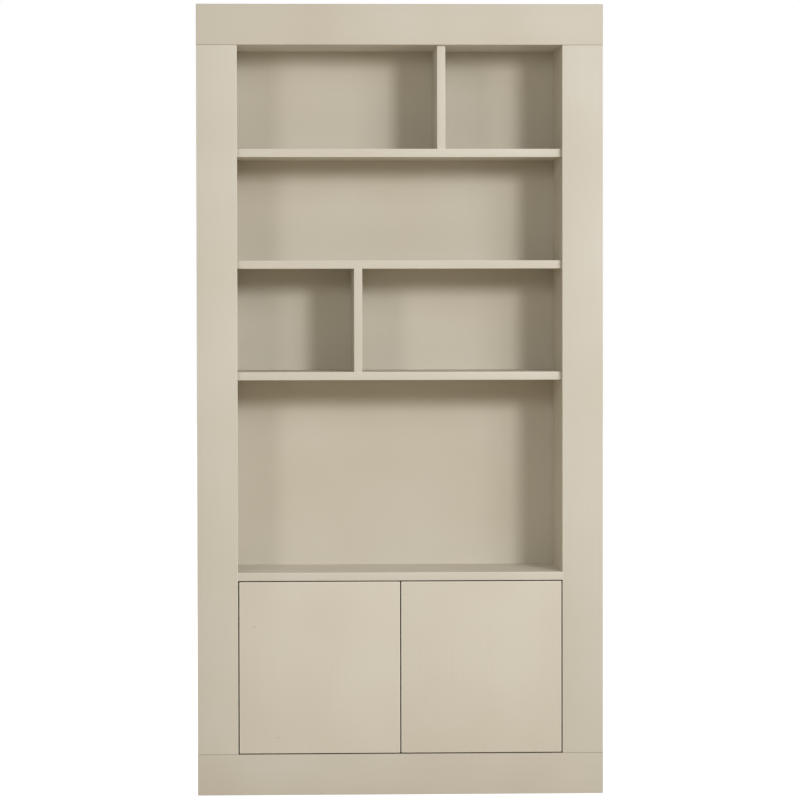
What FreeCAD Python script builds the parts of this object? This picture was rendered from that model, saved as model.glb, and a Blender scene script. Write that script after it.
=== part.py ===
"""Painted bookcase: three short rows with offset dividers, one tall bay, and a two-door cabinet.

Frame: millimetres, +Z up, front towards -Y, origin at the bottom centre, on the floor.
The hollow sides stand behind a wide face frame. Shelves are fixed with cam fittings and dowels.
Each flat inset door turns on two single-pivot cup hinges and is held by a push latch.
"""

import FreeCAD, Part
import os
import re
import Sketcher

SIZES = {
    # carcass, outside
    "overall_width": 1100,
    "body_height": 2140,
    "body_depth": 350,
    # face frame
    "stile_width": 110,
    "top_rail_height": 110,
    "bottom_rail_height": 110,
    "frame_thickness": 22,
    "frame_edge_ease": 1.2,
    # boards
    "shelf_thickness": 22,
    "divider_thickness": 22,
    "deck_thickness": 22,
    "door_thickness": 22,
    "board_edge_ease": 1.2,
    "door_edge_ease": 1.2,
    "outer_side_thickness": 18,
    "inner_side_thickness": 18,
    "top_board_thickness": 18,
    "ceiling_thickness": 18,
    "floor_thickness": 18,
    "rear_rail_thickness": 18,
    "spacer_thickness": 18,
    "back_thickness": 6,
    "back_recess": 2,
    # clear heights of the rows, from the top down; the tall open bay takes what is left
    "upper_bay_height": 280,
    "second_bay_height": 280,
    "third_bay_height": 280,
    "cabinet_height": 471,
    # dividers, from the middle of the bookcase to the middle of the divider
    "upper_divider_offset": 113,
    "lower_divider_offset": 113,
    "door_gap": 3,
    # floor glides
    "glide_height": 3,
    "glide_radius": 15,
    "glide_setback": 40,
    # dowels
    "dowel_radius": 4,
    "dowel_clearance": 0.05,
    "dowel_in_board": 24,
    "dowel_in_panel": 11,
    "dowel_in_divider": 20,
    "dowel_in_shelf": 10,
    "dowel_in_stile": 30,
    "dowel_in_rail": 20,
    "dowel_end_play": 1,
    "frame_dowel_spacing": 60,
    # cam fittings
    "fitting_setback": 50,
    "cam_distance": 34,
    "cam_radius": 7.5,
    "cam_height": 12.4,
    "cam_bore_depth": 14.2,
    "cam_clearance": 0.1,
    "cam_cap_radius": 8.5,
    "cam_cap_thickness": 1.2,
    "cam_slot_radius": 3.4,
    "bolt_bore_radius": 4,
    "bolt_head_radius": 3,
    "bolt_neck_radius": 1.7,
    "bolt_neck_length": 4,
    "bolt_head_length": 3,
    "bolt_thread_radius": 2.5,
    "bolt_thread_length": 11,
    # back panel screws
    "back_screw_radius": 1.75,
    "back_screw_length": 18,
    "back_screw_head_radius": 3.6,
    "back_screw_head_height": 1.6,
    "back_screw_setback": 9,
    # cup hinge
    "hinge_end_distance": 90,
    "pivot_inset": 27,
    "pivot_depth": 12,
    "pivot_pin_radius": 1.5,
    "boss_clearance": 0.15,
    "pivot_clearance": 0.08,
    "cup_radius": 17.5,
    "cup_edge_distance": 5,
    "cup_clearance": 0.1,
    "cup_wall": 1,
    "cup_floor": 0.8,
    "cup_flange_width": 1,
    "cup_flange_thickness": 1.2,
    "cup_ear_offset": 5.5,
    "cup_ear_spacing": 52,
    "cup_ear_radius": 6,
    "cup_boss_width": 4,
    "cup_boss_radius": 3.2,
    "arm_eye_radius": 3.2,
    "arm_eye_play": 0.4,
    "arm_side_play": 0.3,
    "arm_width": 11,
    "arm_thickness": 2.4,
    "arm_bend_ease": 1.2,
    "arm_mouth_reach": 9,
    "arm_jog_depth": 13.5,
    "arm_neck_reach": 15,
    "arm_return_depth": 33.4,
    "arm_length": 96,
    "arm_screw_radius": 3,
    "arm_screw_head_radius": 4.5,
    "arm_screw_head_height": 2.2,
    "arm_fixing_screw_depth": 84,
    "arm_adjusting_screw_depth": 62,
    # mounting plate of the hinge arm
    "plate_thickness": 4.8,
    "plate_front_depth": 38,
    "plate_length": 56,
    "plate_width": 14,
    "plate_wing_thickness": 2.4,
    "plate_wing_width": 15,
    "plate_wing_height": 48,
    "plate_corner_ease": 3,
    "plate_screw_setback": 37,
    "plate_screw_spacing": 32,
    # wood screws of the hardware
    "wood_screw_radius": 1.9,
    "wood_screw_length": 12,
    "wood_screw_head_radius": 3.7,
    "wood_screw_head_height": 1.4,
    # push latch
    "latch_offset": 32,
    "latch_drop": 12,
    "latch_width": 20,
    "latch_height": 20,
    "latch_length": 58,
    "latch_stand_off": 6,
    "latch_wall": 3,
    "latch_corner_ease": 2,
    "latch_ear_width": 9,
    "latch_ear_thickness": 3,
    "latch_ear_length": 24,
    "plunger_radius": 4,
    "plunger_clearance": 0.08,
    "plunger_piston_radius": 5.6,
    "plunger_piston_length": 20,
    "plunger_chamber_radius": 6.2,
    "plunger_stop_gap": 0.1,
    "plunger_tip_gap": 0.3,
    "strike_radius": 7,
    "strike_thickness": 1.2,
}

# places and sizes worked out from the driving values, as expressions for the sheet
OPENING = "(overall_width - 2 * stile_width)"
OPENING_LEFT = f"(-{OPENING} / 2)"
FRONT = "(-body_depth / 2)"
FRAME_BACK = "(frame_thickness - body_depth / 2)"
BACK = "(body_depth / 2)"
BACK_PANEL_BACK = "(body_depth / 2 - back_recess)"
BACK_PANEL_FRONT = "(body_depth / 2 - back_recess - back_thickness)"
INNER_DEPTH = "(body_depth - frame_thickness - back_recess - back_thickness)"
BASE = "glide_height"
TOP = "(glide_height + body_height)"
FLOOR_TOP = "(glide_height + bottom_rail_height)"
FLOOR = f"({FLOOR_TOP} - floor_thickness)"
DECK = f"({FLOOR_TOP} + cabinet_height)"
CEILING = f"({TOP} - top_rail_height)"
UPPER_SHELF = f"({CEILING} - upper_bay_height - shelf_thickness)"
MIDDLE_SHELF = f"({UPPER_SHELF} - second_bay_height - shelf_thickness)"
LOWER_SHELF = f"({MIDDLE_SHELF} - third_bay_height - shelf_thickness)"
TOP_BOARD = f"({TOP} - top_board_thickness)"
BACK_JOINT = f"({DECK} + deck_thickness / 2)"
INNER_SIDE_HEIGHT = f"({TOP_BOARD} - {BASE})"
STILE_HEIGHT = "(body_height - top_rail_height - bottom_rail_height)"
DOOR_WIDTH = f"(({OPENING} - 3 * door_gap) / 2)"
DOOR_HEIGHT = "(cabinet_height - 2 * door_gap)"
DOOR_BOTTOM = f"({FLOOR_TOP} + door_gap)"
LOWER_HINGE = "hinge_end_distance"
UPPER_HINGE = f"({DOOR_HEIGHT} - hinge_end_distance)"
DOWEL_BORE = "(dowel_radius + dowel_clearance)"
CUP_CENTRE = "(cup_edge_distance + cup_radius)"
CUP_DEPTH = "(door_thickness - pivot_depth + arm_eye_radius + arm_eye_play + cup_floor)"
LATCH_FRONT = "(door_thickness + latch_stand_off)"

# each fixed board: underside, thickness, how far it comes forward of the carcass front, how its ends
# are joined to the sides
FIXED_BOARDS = {
    "cabinet_floor_panel": (FLOOR, "floor_thickness", "0", "cams"),
    "cabinet_deck": (DECK, "deck_thickness", "frame_thickness", "cams"),
    "lower_shelf": (LOWER_SHELF, "shelf_thickness", "0", "dowels"),
    "middle_shelf": (MIDDLE_SHELF, "shelf_thickness", "0", "dowels"),
    "upper_shelf": (UPPER_SHELF, "shelf_thickness", "0", "dowels"),
    "ceiling_panel": (CEILING, "ceiling_thickness", "0", "dowels"),
}
# each divider: middle of its thickness, board under it, board over it
DIVIDERS = {
    "upper_divider": ("upper_divider_offset", "upper_shelf", "ceiling_panel"),
    "lower_divider": ("(-lower_divider_offset)", "lower_shelf", "middle_shelf"),
}

# back panel screws: the panel each goes through, the board behind its tip, and its place
SCREW_COLUMN = f"({OPENING} / 2 + inner_side_thickness / 2)"
BELOW_BOARD = "3 * back_screw_setback"
LOWER_SCREW_LEVELS = (
    f"({BASE} + back_screw_setback)",
    f"(({FLOOR_TOP} + {DECK}) / 2)",
    f"({BACK_JOINT} - {BELOW_BOARD})",
)
UPPER_SCREW_LEVELS = (
    f"({BACK_JOINT} + {BELOW_BOARD})",
    f"(({DECK} + {LOWER_SHELF}) / 2)",
    f"({LOWER_SHELF} - {BELOW_BOARD})",
    f"({MIDDLE_SHELF} - {BELOW_BOARD})",
    f"({UPPER_SHELF} - {BELOW_BOARD})",
)
BACK_SCREWS = [
    ("lower_back_panel", "cabinet_floor_panel", ("0", f"({FLOOR} + floor_thickness / 2)")),
    ("lower_back_panel", "rear_plinth_rail", ("0", f"({BASE} + back_screw_setback)")),
    ("upper_back_panel", "lower_shelf", ("0", f"({LOWER_SHELF} + shelf_thickness / 2)")),
    ("upper_back_panel", "middle_shelf", ("0", f"({MIDDLE_SHELF} + shelf_thickness / 2)")),
    ("upper_back_panel", "upper_shelf", ("0", f"({UPPER_SHELF} + shelf_thickness / 2)")),
    ("upper_back_panel", "ceiling_panel", ("0", f"({CEILING} + ceiling_thickness / 2)")),
]
for hand, side in (("left", "(-1)"), ("right", "1")):
    column = f"({side} * {SCREW_COLUMN})"
    inner = f"{hand}_inner_side_panel"
    BACK_SCREWS += [("lower_back_panel", inner, (column, level)) for level in LOWER_SCREW_LEVELS]
    BACK_SCREWS += [("upper_back_panel", inner, (column, level)) for level in UPPER_SCREW_LEVELS]
    top_place = (column, f"({TOP_BOARD} + top_board_thickness / 2)")
    BACK_SCREWS.append(("upper_back_panel", "top_board", top_place))

WORD = re.compile(r"[a-z][a-z_]*")
# two faces or edges nearer than this, in millimetres, lie together
TOUCH = 1e-4
# sides of the polygons that stand for small round forms: shanks and bores, screw heads, cams, cups
SHANK_SIDES = 6
HEAD_SIDES = 6
CAM_SIDES = 8
ROUND_SIDES = 12
# outlines in one sketch, few enough for it to solve quickly
SKETCH_CENTRES = 5
ON_AXIS = [("0", "0")]
# yaw, pitch and roll in degrees
STRAIGHT = (0, 0, 0)
ABOUT_Y = (0, 180, 0)
ABOUT_Z = (180, 0, 0)
SCREW_SHANK = "(wood_screw_radius - dowel_clearance)"
# how far apart shapes are first drawn in a sketch, before its constraints place them
ROUGH_SPACING = 30

doc = FreeCAD.newDocument("Bookcase")
sheet = doc.addObject("Spreadsheet::Sheet", "Sizes")
for row, (alias, number) in enumerate(SIZES.items(), start=1):
    sheet.set(f"A{row}", alias)
    sheet.set(f"B{row}", str(number))
    sheet.setAlias(f"B{row}", alias)
doc.recompute()
nodes = []


def linked(text):
    """The expression with each alias read from the sheet."""
    return WORD.sub(lambda word: f"Sizes.{word.group()}" if word.group() in SIZES else word.group(), text)


def place(thing, at, turn=STRAIGHT):
    """Put a thing at a point whose coordinates are expressions, turned by a yaw, a pitch and a roll."""
    thing.Placement.Rotation = FreeCAD.Rotation(*turn)
    for axis, text in zip("xyz", at):
        thing.setExpression(f"Placement.Base.{axis}", linked(text))


def new_body(label, at=("0", "0", "0"), node=True):
    """An empty body at a place; a node unless it is only the pattern for copies."""
    body = doc.addObject("PartDesign::Body", label)
    body.Label = label
    body.AllowCompound = True
    place(body, at)
    if node:
        nodes.append(body)
    return body


def plane_of(body, role):
    return next(item for item in body.Origin.OriginFeatures if item.Role == role)


def new_sketch(body, plane, offset="0"):
    """A sketch on one of the body's origin planes, moved along the plane's normal."""
    sketch = body.newObject("Sketcher::SketchObject", f"{body.Name}_sketch")
    sketch.AttachmentSupport = [(plane_of(body, plane), "")]
    sketch.MapMode = "FlatFace"
    sketch.setExpression("AttachmentOffset.Base.z", linked(offset))
    return sketch


def pin_point(sketch, geometry, point, across, up):
    """Fix a sketch point at two signed distances from the sketch's origin."""
    for kind, axis, text in (("DistanceX", -2, across), ("DistanceY", -1, up)):
        if text == "0":
            sketch.addConstraint(Sketcher.Constraint("PointOnObject", geometry, point, axis))
        else:
            index = sketch.addConstraint(Sketcher.Constraint(kind, -1, 1, geometry, point, 1.0))
            sketch.setExpression(f"Constraints[{index}]", linked(text))


def outline(body, plane, points, offset="0"):
    """A sketch of one closed outline of straight lines, its corners given as expressions."""
    sketch = new_sketch(body, plane, offset)
    count = len(points)
    rough = [FreeCAD.Vector(index, index * index, 0) for index in range(count)]
    for index in range(count):
        sketch.addGeometry(Part.LineSegment(rough[index], rough[(index + 1) % count]), False)
    for index in range(count):
        following = (index + 1) % count
        sketch.addConstraint(Sketcher.Constraint("Coincident", index, 2, following, 1))
    for index, (across, up) in enumerate(points):
        pin_point(sketch, index, 1, across, up)
    return sketch


def rectangle(body, plane, low, high, offset="0"):
    """A sketch of one rectangle between two corners."""
    corners = [low, (high[0], low[1]), high, (low[0], high[1])]
    return outline(body, plane, corners, offset)


def circles(body, plane, centres, radius, offset="0"):
    """A sketch of equal circles."""
    sketch = new_sketch(body, plane, offset)
    for index, (across, up) in enumerate(centres):
        rough = FreeCAD.Vector(ROUGH_SPACING * index, 0, 0)
        sketch.addGeometry(Part.Circle(rough, FreeCAD.Vector(0, 0, 1), 1), False)
        pin_point(sketch, index, 3, across, up)
        if index:
            sketch.addConstraint(Sketcher.Constraint("Equal", 0, index))
    size = sketch.addConstraint(Sketcher.Constraint("Radius", 0, 1))
    sketch.setExpression(f"Constraints[{size}]", linked(radius))
    return sketch


def polygons(body, plane, centres, radius, sides, offset):
    """A sketch of equal regular polygons, one round each centre."""
    sketch = new_sketch(body, plane, offset)
    lines = []
    joints = []
    pins = []
    texts = []
    for number, (across, up) in enumerate(centres):
        first = number * sides
        corners = []
        for corner in range(sides):
            angle = 360 * corner / sides
            wanted = (f"({across} + {radius} * cos({angle} deg))", f"({up} + {radius} * sin({angle} deg))")
            start = [float(body.evalExpression(linked(text))) for text in wanted]
            corners.append(FreeCAD.Vector(*start, 0))
            following = first + (corner + 1) % sides
            joints.append(Sketcher.Constraint("Coincident", first + corner, 2, following, 1))
            for kind, text, distance in zip(("DistanceX", "DistanceY"), wanted, start):
                pins.append(Sketcher.Constraint(kind, -1, 1, first + corner, 1, distance))
                texts.append(text)
        lines += [Part.LineSegment(start, end) for start, end in zip(corners, corners[1:] + corners[:1])]
    sketch.addGeometry(lines, False)
    sketch.addConstraint(joints + pins)
    for index, text in enumerate(texts, start=len(joints)):
        sketch.setExpression(f"Constraints[{index}]", linked(text))
    return sketch


def pad(body, sketch, length, against_normal=False, both_ways=False):
    feature = body.newObject("PartDesign::Pad", f"{body.Name}_pad")
    feature.Profile = sketch
    feature.Reversed = against_normal
    feature.Midplane = both_ways
    feature.setExpression("Length", linked(length))
    body.Tip = feature
    return feature


def pocket(body, sketch, length, along_normal=False, both_ways=False):
    """Cut a sketch away: against its plane's normal, or along it."""
    doc.recompute()
    before = body.Shape.Volume
    feature = body.newObject("PartDesign::Pocket", f"{body.Name}_pocket")
    feature.Profile = sketch
    feature.Reversed = along_normal
    feature.Midplane = both_ways
    feature.setExpression("Length", linked(length))
    body.Tip = feature
    doc.recompute()
    if not body.Shape.Volume < before:
        raise RuntimeError(f"a pocket in {body.Label} cuts nothing")
    return feature


def rods(body, plane, centres, radius, sides, start, length, against_normal=False):
    """Small round bars with few faces, added to the body."""
    for first in range(0, len(centres), SKETCH_CENTRES):
        few = polygons(body, plane, centres[first:first + SKETCH_CENTRES], radius, sides, start)
        pad(body, few, length, against_normal)


def bores(body, plane, centres, radius, sides, start, length, along_normal=False):
    """Small round holes with few faces, cut from the body: against the plane's normal, or along it."""
    for first in range(0, len(centres), SKETCH_CENTRES):
        few = polygons(body, plane, centres[first:first + SKETCH_CENTRES], radius, sides, start)
        pocket(body, few, length, along_normal)


def edge_names(shape, wanted):
    return [f"Edge{index}" for index, edge in enumerate(shape.Edges, start=1) if wanted(edge)]


def ease(body, size, wanted):
    """Take the sharpness off the edges of the body's last feature that the test picks."""
    doc.recompute()
    base = body.Tip
    feature = body.newObject("PartDesign::Chamfer", f"{body.Name}_chamfer")
    feature.Base = (base, edge_names(base.Shape, wanted))
    feature.setExpression("Size", linked(size))
    body.Tip = feature
    doc.recompute()
    return feature


def runs_along(edge, axis):
    """Whether a straight edge is parallel to an axis, given as 0, 1 or 2."""
    if edge.Curve.TypeId != "Part::GeomLine":
        return False
    return abs(abs(edge.Curve.Direction[axis]) - 1) < TOUCH


def on_front(edge, front):
    """Whether an edge lies in a plane across Y."""
    box = edge.BoundBox
    return abs(box.YMin - front) < TOUCH and abs(box.YMax - front) < TOUCH


def group(label, template, places, turns=None):
    """A node of copies of one piece."""
    copies = []
    for number, at in enumerate(places):
        copy = doc.addObject("App::Link", f"{label}_copy")
        copy.LinkedObject = template
        place(copy, at, turns[number] if turns else STRAIGHT)
        copies.append(copy)
    gather(label, copies)


def gather(label, things):
    """One node of several things."""
    compound = doc.addObject("Part::Compound", label)
    compound.Label = label
    compound.Links = things
    nodes.append(compound)


def board(label, low, high, underside, thickness):
    """A plain rectangular board, drilled for any back panel screw that it takes."""
    body = new_body(label)
    pad(body, rectangle(body, "XY_Plane", low, high, underside), thickness)
    back_pilots(body)


# ---------------------------------------------------------------- fittings' common places

# depth of each fitting behind the carcass front: a cam board has its dowel between two cams
OUTER_DEPTHS = ("fitting_setback", f"({INNER_DEPTH} - fitting_setback)")
MIDDLE_DEPTH = f"({INNER_DEPTH} / 2)"
DOWEL_DEPTHS = {"cams": (MIDDLE_DEPTH,), "dowels": OUTER_DEPTHS}
BOLT_DEPTHS = {"cams": OUTER_DEPTHS, "dowels": ()}
SIDES = ("(-1)", "1")


def at_board_ends(depths):
    """Fitting places on a side panel's face, as depth and height, for the boards' kinds of joint."""
    return [(f"({FRAME_BACK} + {depth})", f"({underside} + {thickness} / 2)")
            for underside, thickness, _, joint in FIXED_BOARDS.values() for depth in depths[joint]]


def cam_places():
    """Middle of every cam of one board."""
    return [(f"({side} * ({OPENING} / 2 - cam_distance))", f"({FRAME_BACK} + {depth})")
            for side in SIDES for depth in OUTER_DEPTHS]


# the left cams as modelled, the right ones turned
CAM_TURNS = [turn for turn in (STRAIGHT, ABOUT_Z) for _ in OUTER_DEPTHS]


def cam_boards():
    return {label: board for label, board in FIXED_BOARDS.items() if board[3] == "cams"}


def divider_dowel_places(across):
    return [(across, f"({FRAME_BACK} + {depth})") for depth in OUTER_DEPTHS]


# ---------------------------------------------------------------- face frame

def stile_dowel_places(side):
    """The two dowels in one stile end, from the middle of the bookcase."""
    middle = f"({side} * (overall_width - stile_width) / 2)"
    return [(f"({middle} + {way} * frame_dowel_spacing / 2)", f"({FRONT} + frame_thickness / 2)")
            for way in SIDES]


def all_stile_dowels():
    return stile_dowel_places("(-1)") + stile_dowel_places("1")


def rail(label, underside, height, dowel_face, drill_up):
    """A full-width rail of the face frame, drilled for the dowels of both stiles."""
    body = new_body(label)
    low = ("(-overall_width / 2)", FRONT)
    high = ("(overall_width / 2)", FRAME_BACK)
    pad(body, rectangle(body, "XY_Plane", low, high, underside), height)
    ease(body, "frame_edge_ease", lambda edge: on_front(edge, body.Shape.BoundBox.YMin))
    bores(body, "XY_Plane", all_stile_dowels(), DOWEL_BORE, SHANK_SIDES, dowel_face,
          "dowel_in_rail + dowel_end_play", along_normal=drill_up)


def stile(label, side):
    """An upright of the face frame, between the rails."""
    body = new_body(label)
    edges = [f"({side} * {OPENING} / 2)", f"({side} * overall_width / 2)"]
    section = rectangle(body, "XY_Plane", (edges[0], FRONT), (edges[1], FRAME_BACK), FLOOR_TOP)
    pad(body, section, STILE_HEIGHT)
    ease(body, "frame_edge_ease", lambda edge: on_front(edge, body.Shape.BoundBox.YMin))
    for face, upwards in ((FLOOR_TOP, True), (CEILING, False)):
        bores(body, "XY_Plane", stile_dowel_places(side), DOWEL_BORE, SHANK_SIDES, face,
              "dowel_in_stile + dowel_end_play", along_normal=upwards)


def frame_dowels():
    """The dowels that join stiles to rails, two in each of the four joints."""
    body = new_body("frame_dowels")
    for face, below in ((FLOOR_TOP, "dowel_in_rail"), (CEILING, "dowel_in_stile")):
        rods(body, "XY_Plane", all_stile_dowels(), "dowel_radius", SHANK_SIDES, f"({face} - {below})",
             "dowel_in_rail + dowel_in_stile")


# ---------------------------------------------------------------- carcass

def outer_side(label, side):
    """The outside panel of a hollow side, from floor to top."""
    body = new_body(label)
    inside = f"({side} * (overall_width / 2 - outer_side_thickness))"
    outside = f"({side} * overall_width / 2)"
    pad(body, rectangle(body, "XY_Plane", (inside, FRAME_BACK), (outside, BACK), BASE), "body_height")


def inner_side(label, side):
    """The panel beside the bays, drilled for bolts, dowels and hinge plate screws."""
    body = new_body(label)
    face = f"({side} * {OPENING} / 2)"
    hidden = f"({side} * ({OPENING} / 2 + inner_side_thickness))"
    panel = rectangle(body, "XY_Plane", (face, FRAME_BACK), (hidden, BACK_PANEL_FRONT), BASE)
    pad(body, panel, INNER_SIDE_HEIGHT)
    outwards = side == "1"
    bores(body, "YZ_Plane", at_board_ends(BOLT_DEPTHS), "bolt_thread_radius", SHANK_SIDES, face,
          "bolt_thread_length + dowel_end_play", along_normal=outwards)
    bores(body, "YZ_Plane", at_board_ends(DOWEL_DEPTHS), DOWEL_BORE, SHANK_SIDES, face,
          "dowel_in_panel + dowel_end_play", along_normal=outwards)
    screw_places = [(f"({FRAME_BACK} + plate_screw_setback)",
                     f"({DOOR_BOTTOM} + {hinge} + {way} * plate_screw_spacing / 2)")
                    for hinge in (LOWER_HINGE, UPPER_HINGE) for way in SIDES]
    bores(body, "YZ_Plane", screw_places, "wood_screw_radius", SHANK_SIDES, face, "wood_screw_length",
          along_normal=outwards)
    back_pilots(body)


def side_spacers(label, side):
    """Cross boards that hold a hollow side's two panels apart."""
    body = new_body(label)
    near = f"({side} * ({OPENING} / 2 + inner_side_thickness))"
    far = f"({side} * (overall_width / 2 - outer_side_thickness))"
    levels = (BASE, DECK, MIDDLE_SHELF, f"({TOP_BOARD} - spacer_thickness)")
    for level in levels:
        spacer = rectangle(body, "XY_Plane", (near, FRAME_BACK), (far, BACK_PANEL_FRONT), level)
        pad(body, spacer, "spacer_thickness")


def fixed_board(label, underside, thickness, overhang, joint):
    """A shelf, deck, floor or ceiling, drilled at both ends and for any divider on it."""
    body = new_body(label)
    low = (OPENING_LEFT, f"({FRAME_BACK} - {overhang})")
    high = (f"({OPENING} / 2)", BACK_PANEL_FRONT)
    pad(body, rectangle(body, "XY_Plane", low, high, underside), thickness)
    ease(body, "board_edge_ease",
         lambda edge: on_front(edge, body.Shape.BoundBox.YMin) and runs_along(edge, 0))
    middle = f"({underside} + {thickness} / 2)"
    for side in SIDES:
        end = f"({side} * {OPENING} / 2)"
        inwards = side == "(-1)"
        if joint == "cams":
            bolt_places = [(f"({FRAME_BACK} + {depth})", middle) for depth in OUTER_DEPTHS]
            bores(body, "YZ_Plane", bolt_places, "bolt_bore_radius", SHANK_SIDES, end, "cam_distance",
                  along_normal=inwards)
        dowel_places = [(f"({FRAME_BACK} + {depth})", middle) for depth in DOWEL_DEPTHS[joint]]
        bores(body, "YZ_Plane", dowel_places, DOWEL_BORE, SHANK_SIDES, end,
              "dowel_in_board + dowel_end_play", along_normal=inwards)
    if joint == "cams":
        bores(body, "XY_Plane", cam_places(), "cam_radius", CAM_SIDES, underside, "cam_bore_depth",
              along_normal=True)
    for across, board_under, board_over in DIVIDERS.values():
        if label in (board_under, board_over):
            face = f"({underside} + {thickness})" if label == board_under else underside
            bores(body, "XY_Plane", divider_dowel_places(across), DOWEL_BORE, SHANK_SIDES, face,
                  "dowel_in_shelf + dowel_end_play", along_normal=label == board_over)
    if label == "cabinet_deck":
        bores(body, "XY_Plane", latch_screw_places(), "wood_screw_radius", SHANK_SIDES, underside,
              "wood_screw_length", along_normal=True)
    back_pilots(body)


def divider(label, across, board_under, board_over):
    """An upright board between two shelves, drilled top and bottom for dowels."""
    body = new_body(label)
    underside = f"({FIXED_BOARDS[board_under][0]} + shelf_thickness)"
    topside = FIXED_BOARDS[board_over][0]
    low = (f"({across} - divider_thickness / 2)", FRAME_BACK)
    high = (f"({across} + divider_thickness / 2)", BACK_PANEL_FRONT)
    pad(body, rectangle(body, "XY_Plane", low, high, underside), f"{topside} - {underside}")
    ease(body, "board_edge_ease",
         lambda edge: on_front(edge, body.Shape.BoundBox.YMin) and runs_along(edge, 2))
    for face, upwards in ((underside, True), (topside, False)):
        bores(body, "XY_Plane", divider_dowel_places(across), DOWEL_BORE, SHANK_SIDES, face,
              "dowel_in_divider + dowel_end_play", along_normal=upwards)


def back_panel(label, bottom, top):
    """One thin panel of the back, with its screw holes."""
    body = new_body(label)
    half = "(overall_width / 2 - outer_side_thickness)"
    panel = rectangle(body, "XY_Plane", (f"(-{half})", BACK_PANEL_FRONT), (half, BACK_PANEL_BACK), bottom)
    pad(body, panel, f"{top} - {bottom}")
    places = [at for panel_name, _, at in BACK_SCREWS if panel_name == label]
    bores(body, "XZ_Plane", places, "back_screw_radius", SHANK_SIDES, f"(-{BACK_PANEL_BACK})",
          "back_thickness", along_normal=True)


def back_pilots(body):
    """Pilot holes in the rear edge of a board that back panel screws go into."""
    places = [at for _, board_name, at in BACK_SCREWS if board_name == body.Label]
    if places:
        bores(body, "XZ_Plane", places, "back_screw_radius", SHANK_SIDES, f"(-{BACK_PANEL_FRONT})",
              "back_screw_length - back_thickness + dowel_end_play", along_normal=True)


def back_screw():
    """Pan-head screw, its seat at the origin, shank towards -Y."""
    body = new_body("back_screw", node=False)
    rods(body, "XZ_Plane", ON_AXIS, "(back_screw_radius - dowel_clearance)", SHANK_SIDES, "0",
         "back_screw_length")
    rods(body, "XZ_Plane", ON_AXIS, "back_screw_head_radius", HEAD_SIDES, "0", "back_screw_head_height",
         against_normal=True)
    return body


# ---------------------------------------------------------------- fittings

def board_dowel():
    """Dowel between a side panel on its left and a board, the panel's face at the origin."""
    body = new_body("board_dowel", node=False)
    rods(body, "YZ_Plane", ON_AXIS, "dowel_radius", SHANK_SIDES, "(-dowel_in_panel)",
         "dowel_in_panel + dowel_in_board")
    return body


def divider_dowel():
    """Dowel between a shelf below it and a divider, the shelf's face at the origin."""
    body = new_body("divider_dowel", node=False)
    rods(body, "XY_Plane", ON_AXIS, "dowel_radius", SHANK_SIDES, "(-dowel_in_shelf)",
         "dowel_in_shelf + dowel_in_divider")
    return body


def divider_dowels():
    template = divider_dowel()
    places = []
    turns = []
    for across, board_under, board_over in DIVIDERS.values():
        faces = ((f"({FIXED_BOARDS[board_under][0]} + shelf_thickness)", STRAIGHT),
                 (FIXED_BOARDS[board_over][0], ABOUT_Y))
        for face, turn in faces:
            for at in divider_dowel_places(across):
                places.append((*at, face))
                turns.append(turn)
    group("divider_dowels", template, places, turns)


def at_both_ends(depths):
    """Places and turns of a left-hand fitting and its turned copy, on the two side panels' faces."""
    places = []
    turns = []
    for side, turn in zip(SIDES, (STRAIGHT, ABOUT_Z)):
        for depth, height in at_board_ends(depths):
            places.append((f"({side} * {OPENING} / 2)", depth, height))
            turns.append(turn)
    return places, turns


def cam_disc(thickness):
    """Eccentric disc with a slot on its left for the bolt's head, the board's underside at the origin."""
    body = new_body("cam_disc", node=False)
    rods(body, "XY_Plane", ON_AXIS, "(cam_radius - cam_clearance)", CAM_SIDES,
         "(cam_bore_depth - cam_height)", "cam_height")
    bores(body, "YZ_Plane", [("0", f"({thickness} / 2)")], "cam_slot_radius", SHANK_SIDES, "(-cam_radius)",
          "cam_radius + bolt_head_length", along_normal=True)
    return body


def cam_discs():
    """Every cam disc, each board's cut to meet bolts in the middle of its thickness."""
    discs = []
    for underside, thickness, *_ in cam_boards().values():
        template = cam_disc(thickness)
        for (across, depth), turn in zip(cam_places(), CAM_TURNS):
            disc = doc.addObject("App::Link", "cam_disc_copy")
            disc.LinkedObject = template
            place(disc, (across, depth, underside), turn)
            discs.append(disc)
    gather("cam_discs", discs)


def cam_bolt():
    """Bolt from a side panel on its left: threaded shank, neck and head, the panel's face at the origin."""
    body = new_body("cam_bolt", node=False)
    stretches = (
        ("(-bolt_thread_length)", "bolt_thread_length + cam_distance - bolt_neck_length",
         "(bolt_thread_radius - dowel_clearance)"),
        ("(cam_distance - bolt_neck_length)", "bolt_neck_length", "bolt_neck_radius"),
        ("cam_distance", "bolt_head_length - cam_clearance", "bolt_head_radius"),
    )
    for start, length, radius in stretches:
        rods(body, "YZ_Plane", ON_AXIS, radius, SHANK_SIDES, start, length)
    return body


def cam_cap():
    """Plastic cap that closes a cam bore, the board's underside at the origin."""
    body = new_body("cam_cap", node=False)
    rods(body, "XY_Plane", ON_AXIS, "cam_cap_radius", CAM_SIDES, "(-cam_cap_thickness)",
         "cam_cap_thickness")
    rods(body, "XY_Plane", ON_AXIS, "(cam_radius - cam_clearance)", CAM_SIDES, "0",
         "cam_bore_depth - cam_height - cam_clearance")
    return body


def glides():
    """A round foot under each corner."""
    body = new_body("glides")
    across = "((overall_width - stile_width) / 2)"
    depth = "(body_depth / 2 - glide_setback)"
    corners = [(f"({side} * {across})", f"({way} * {depth})") for side in SIDES for way in SIDES]
    rods(body, "XY_Plane", corners, "glide_radius", ROUND_SIDES, "0", "glide_height")


# ---------------------------------------------------------------- doors

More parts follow.
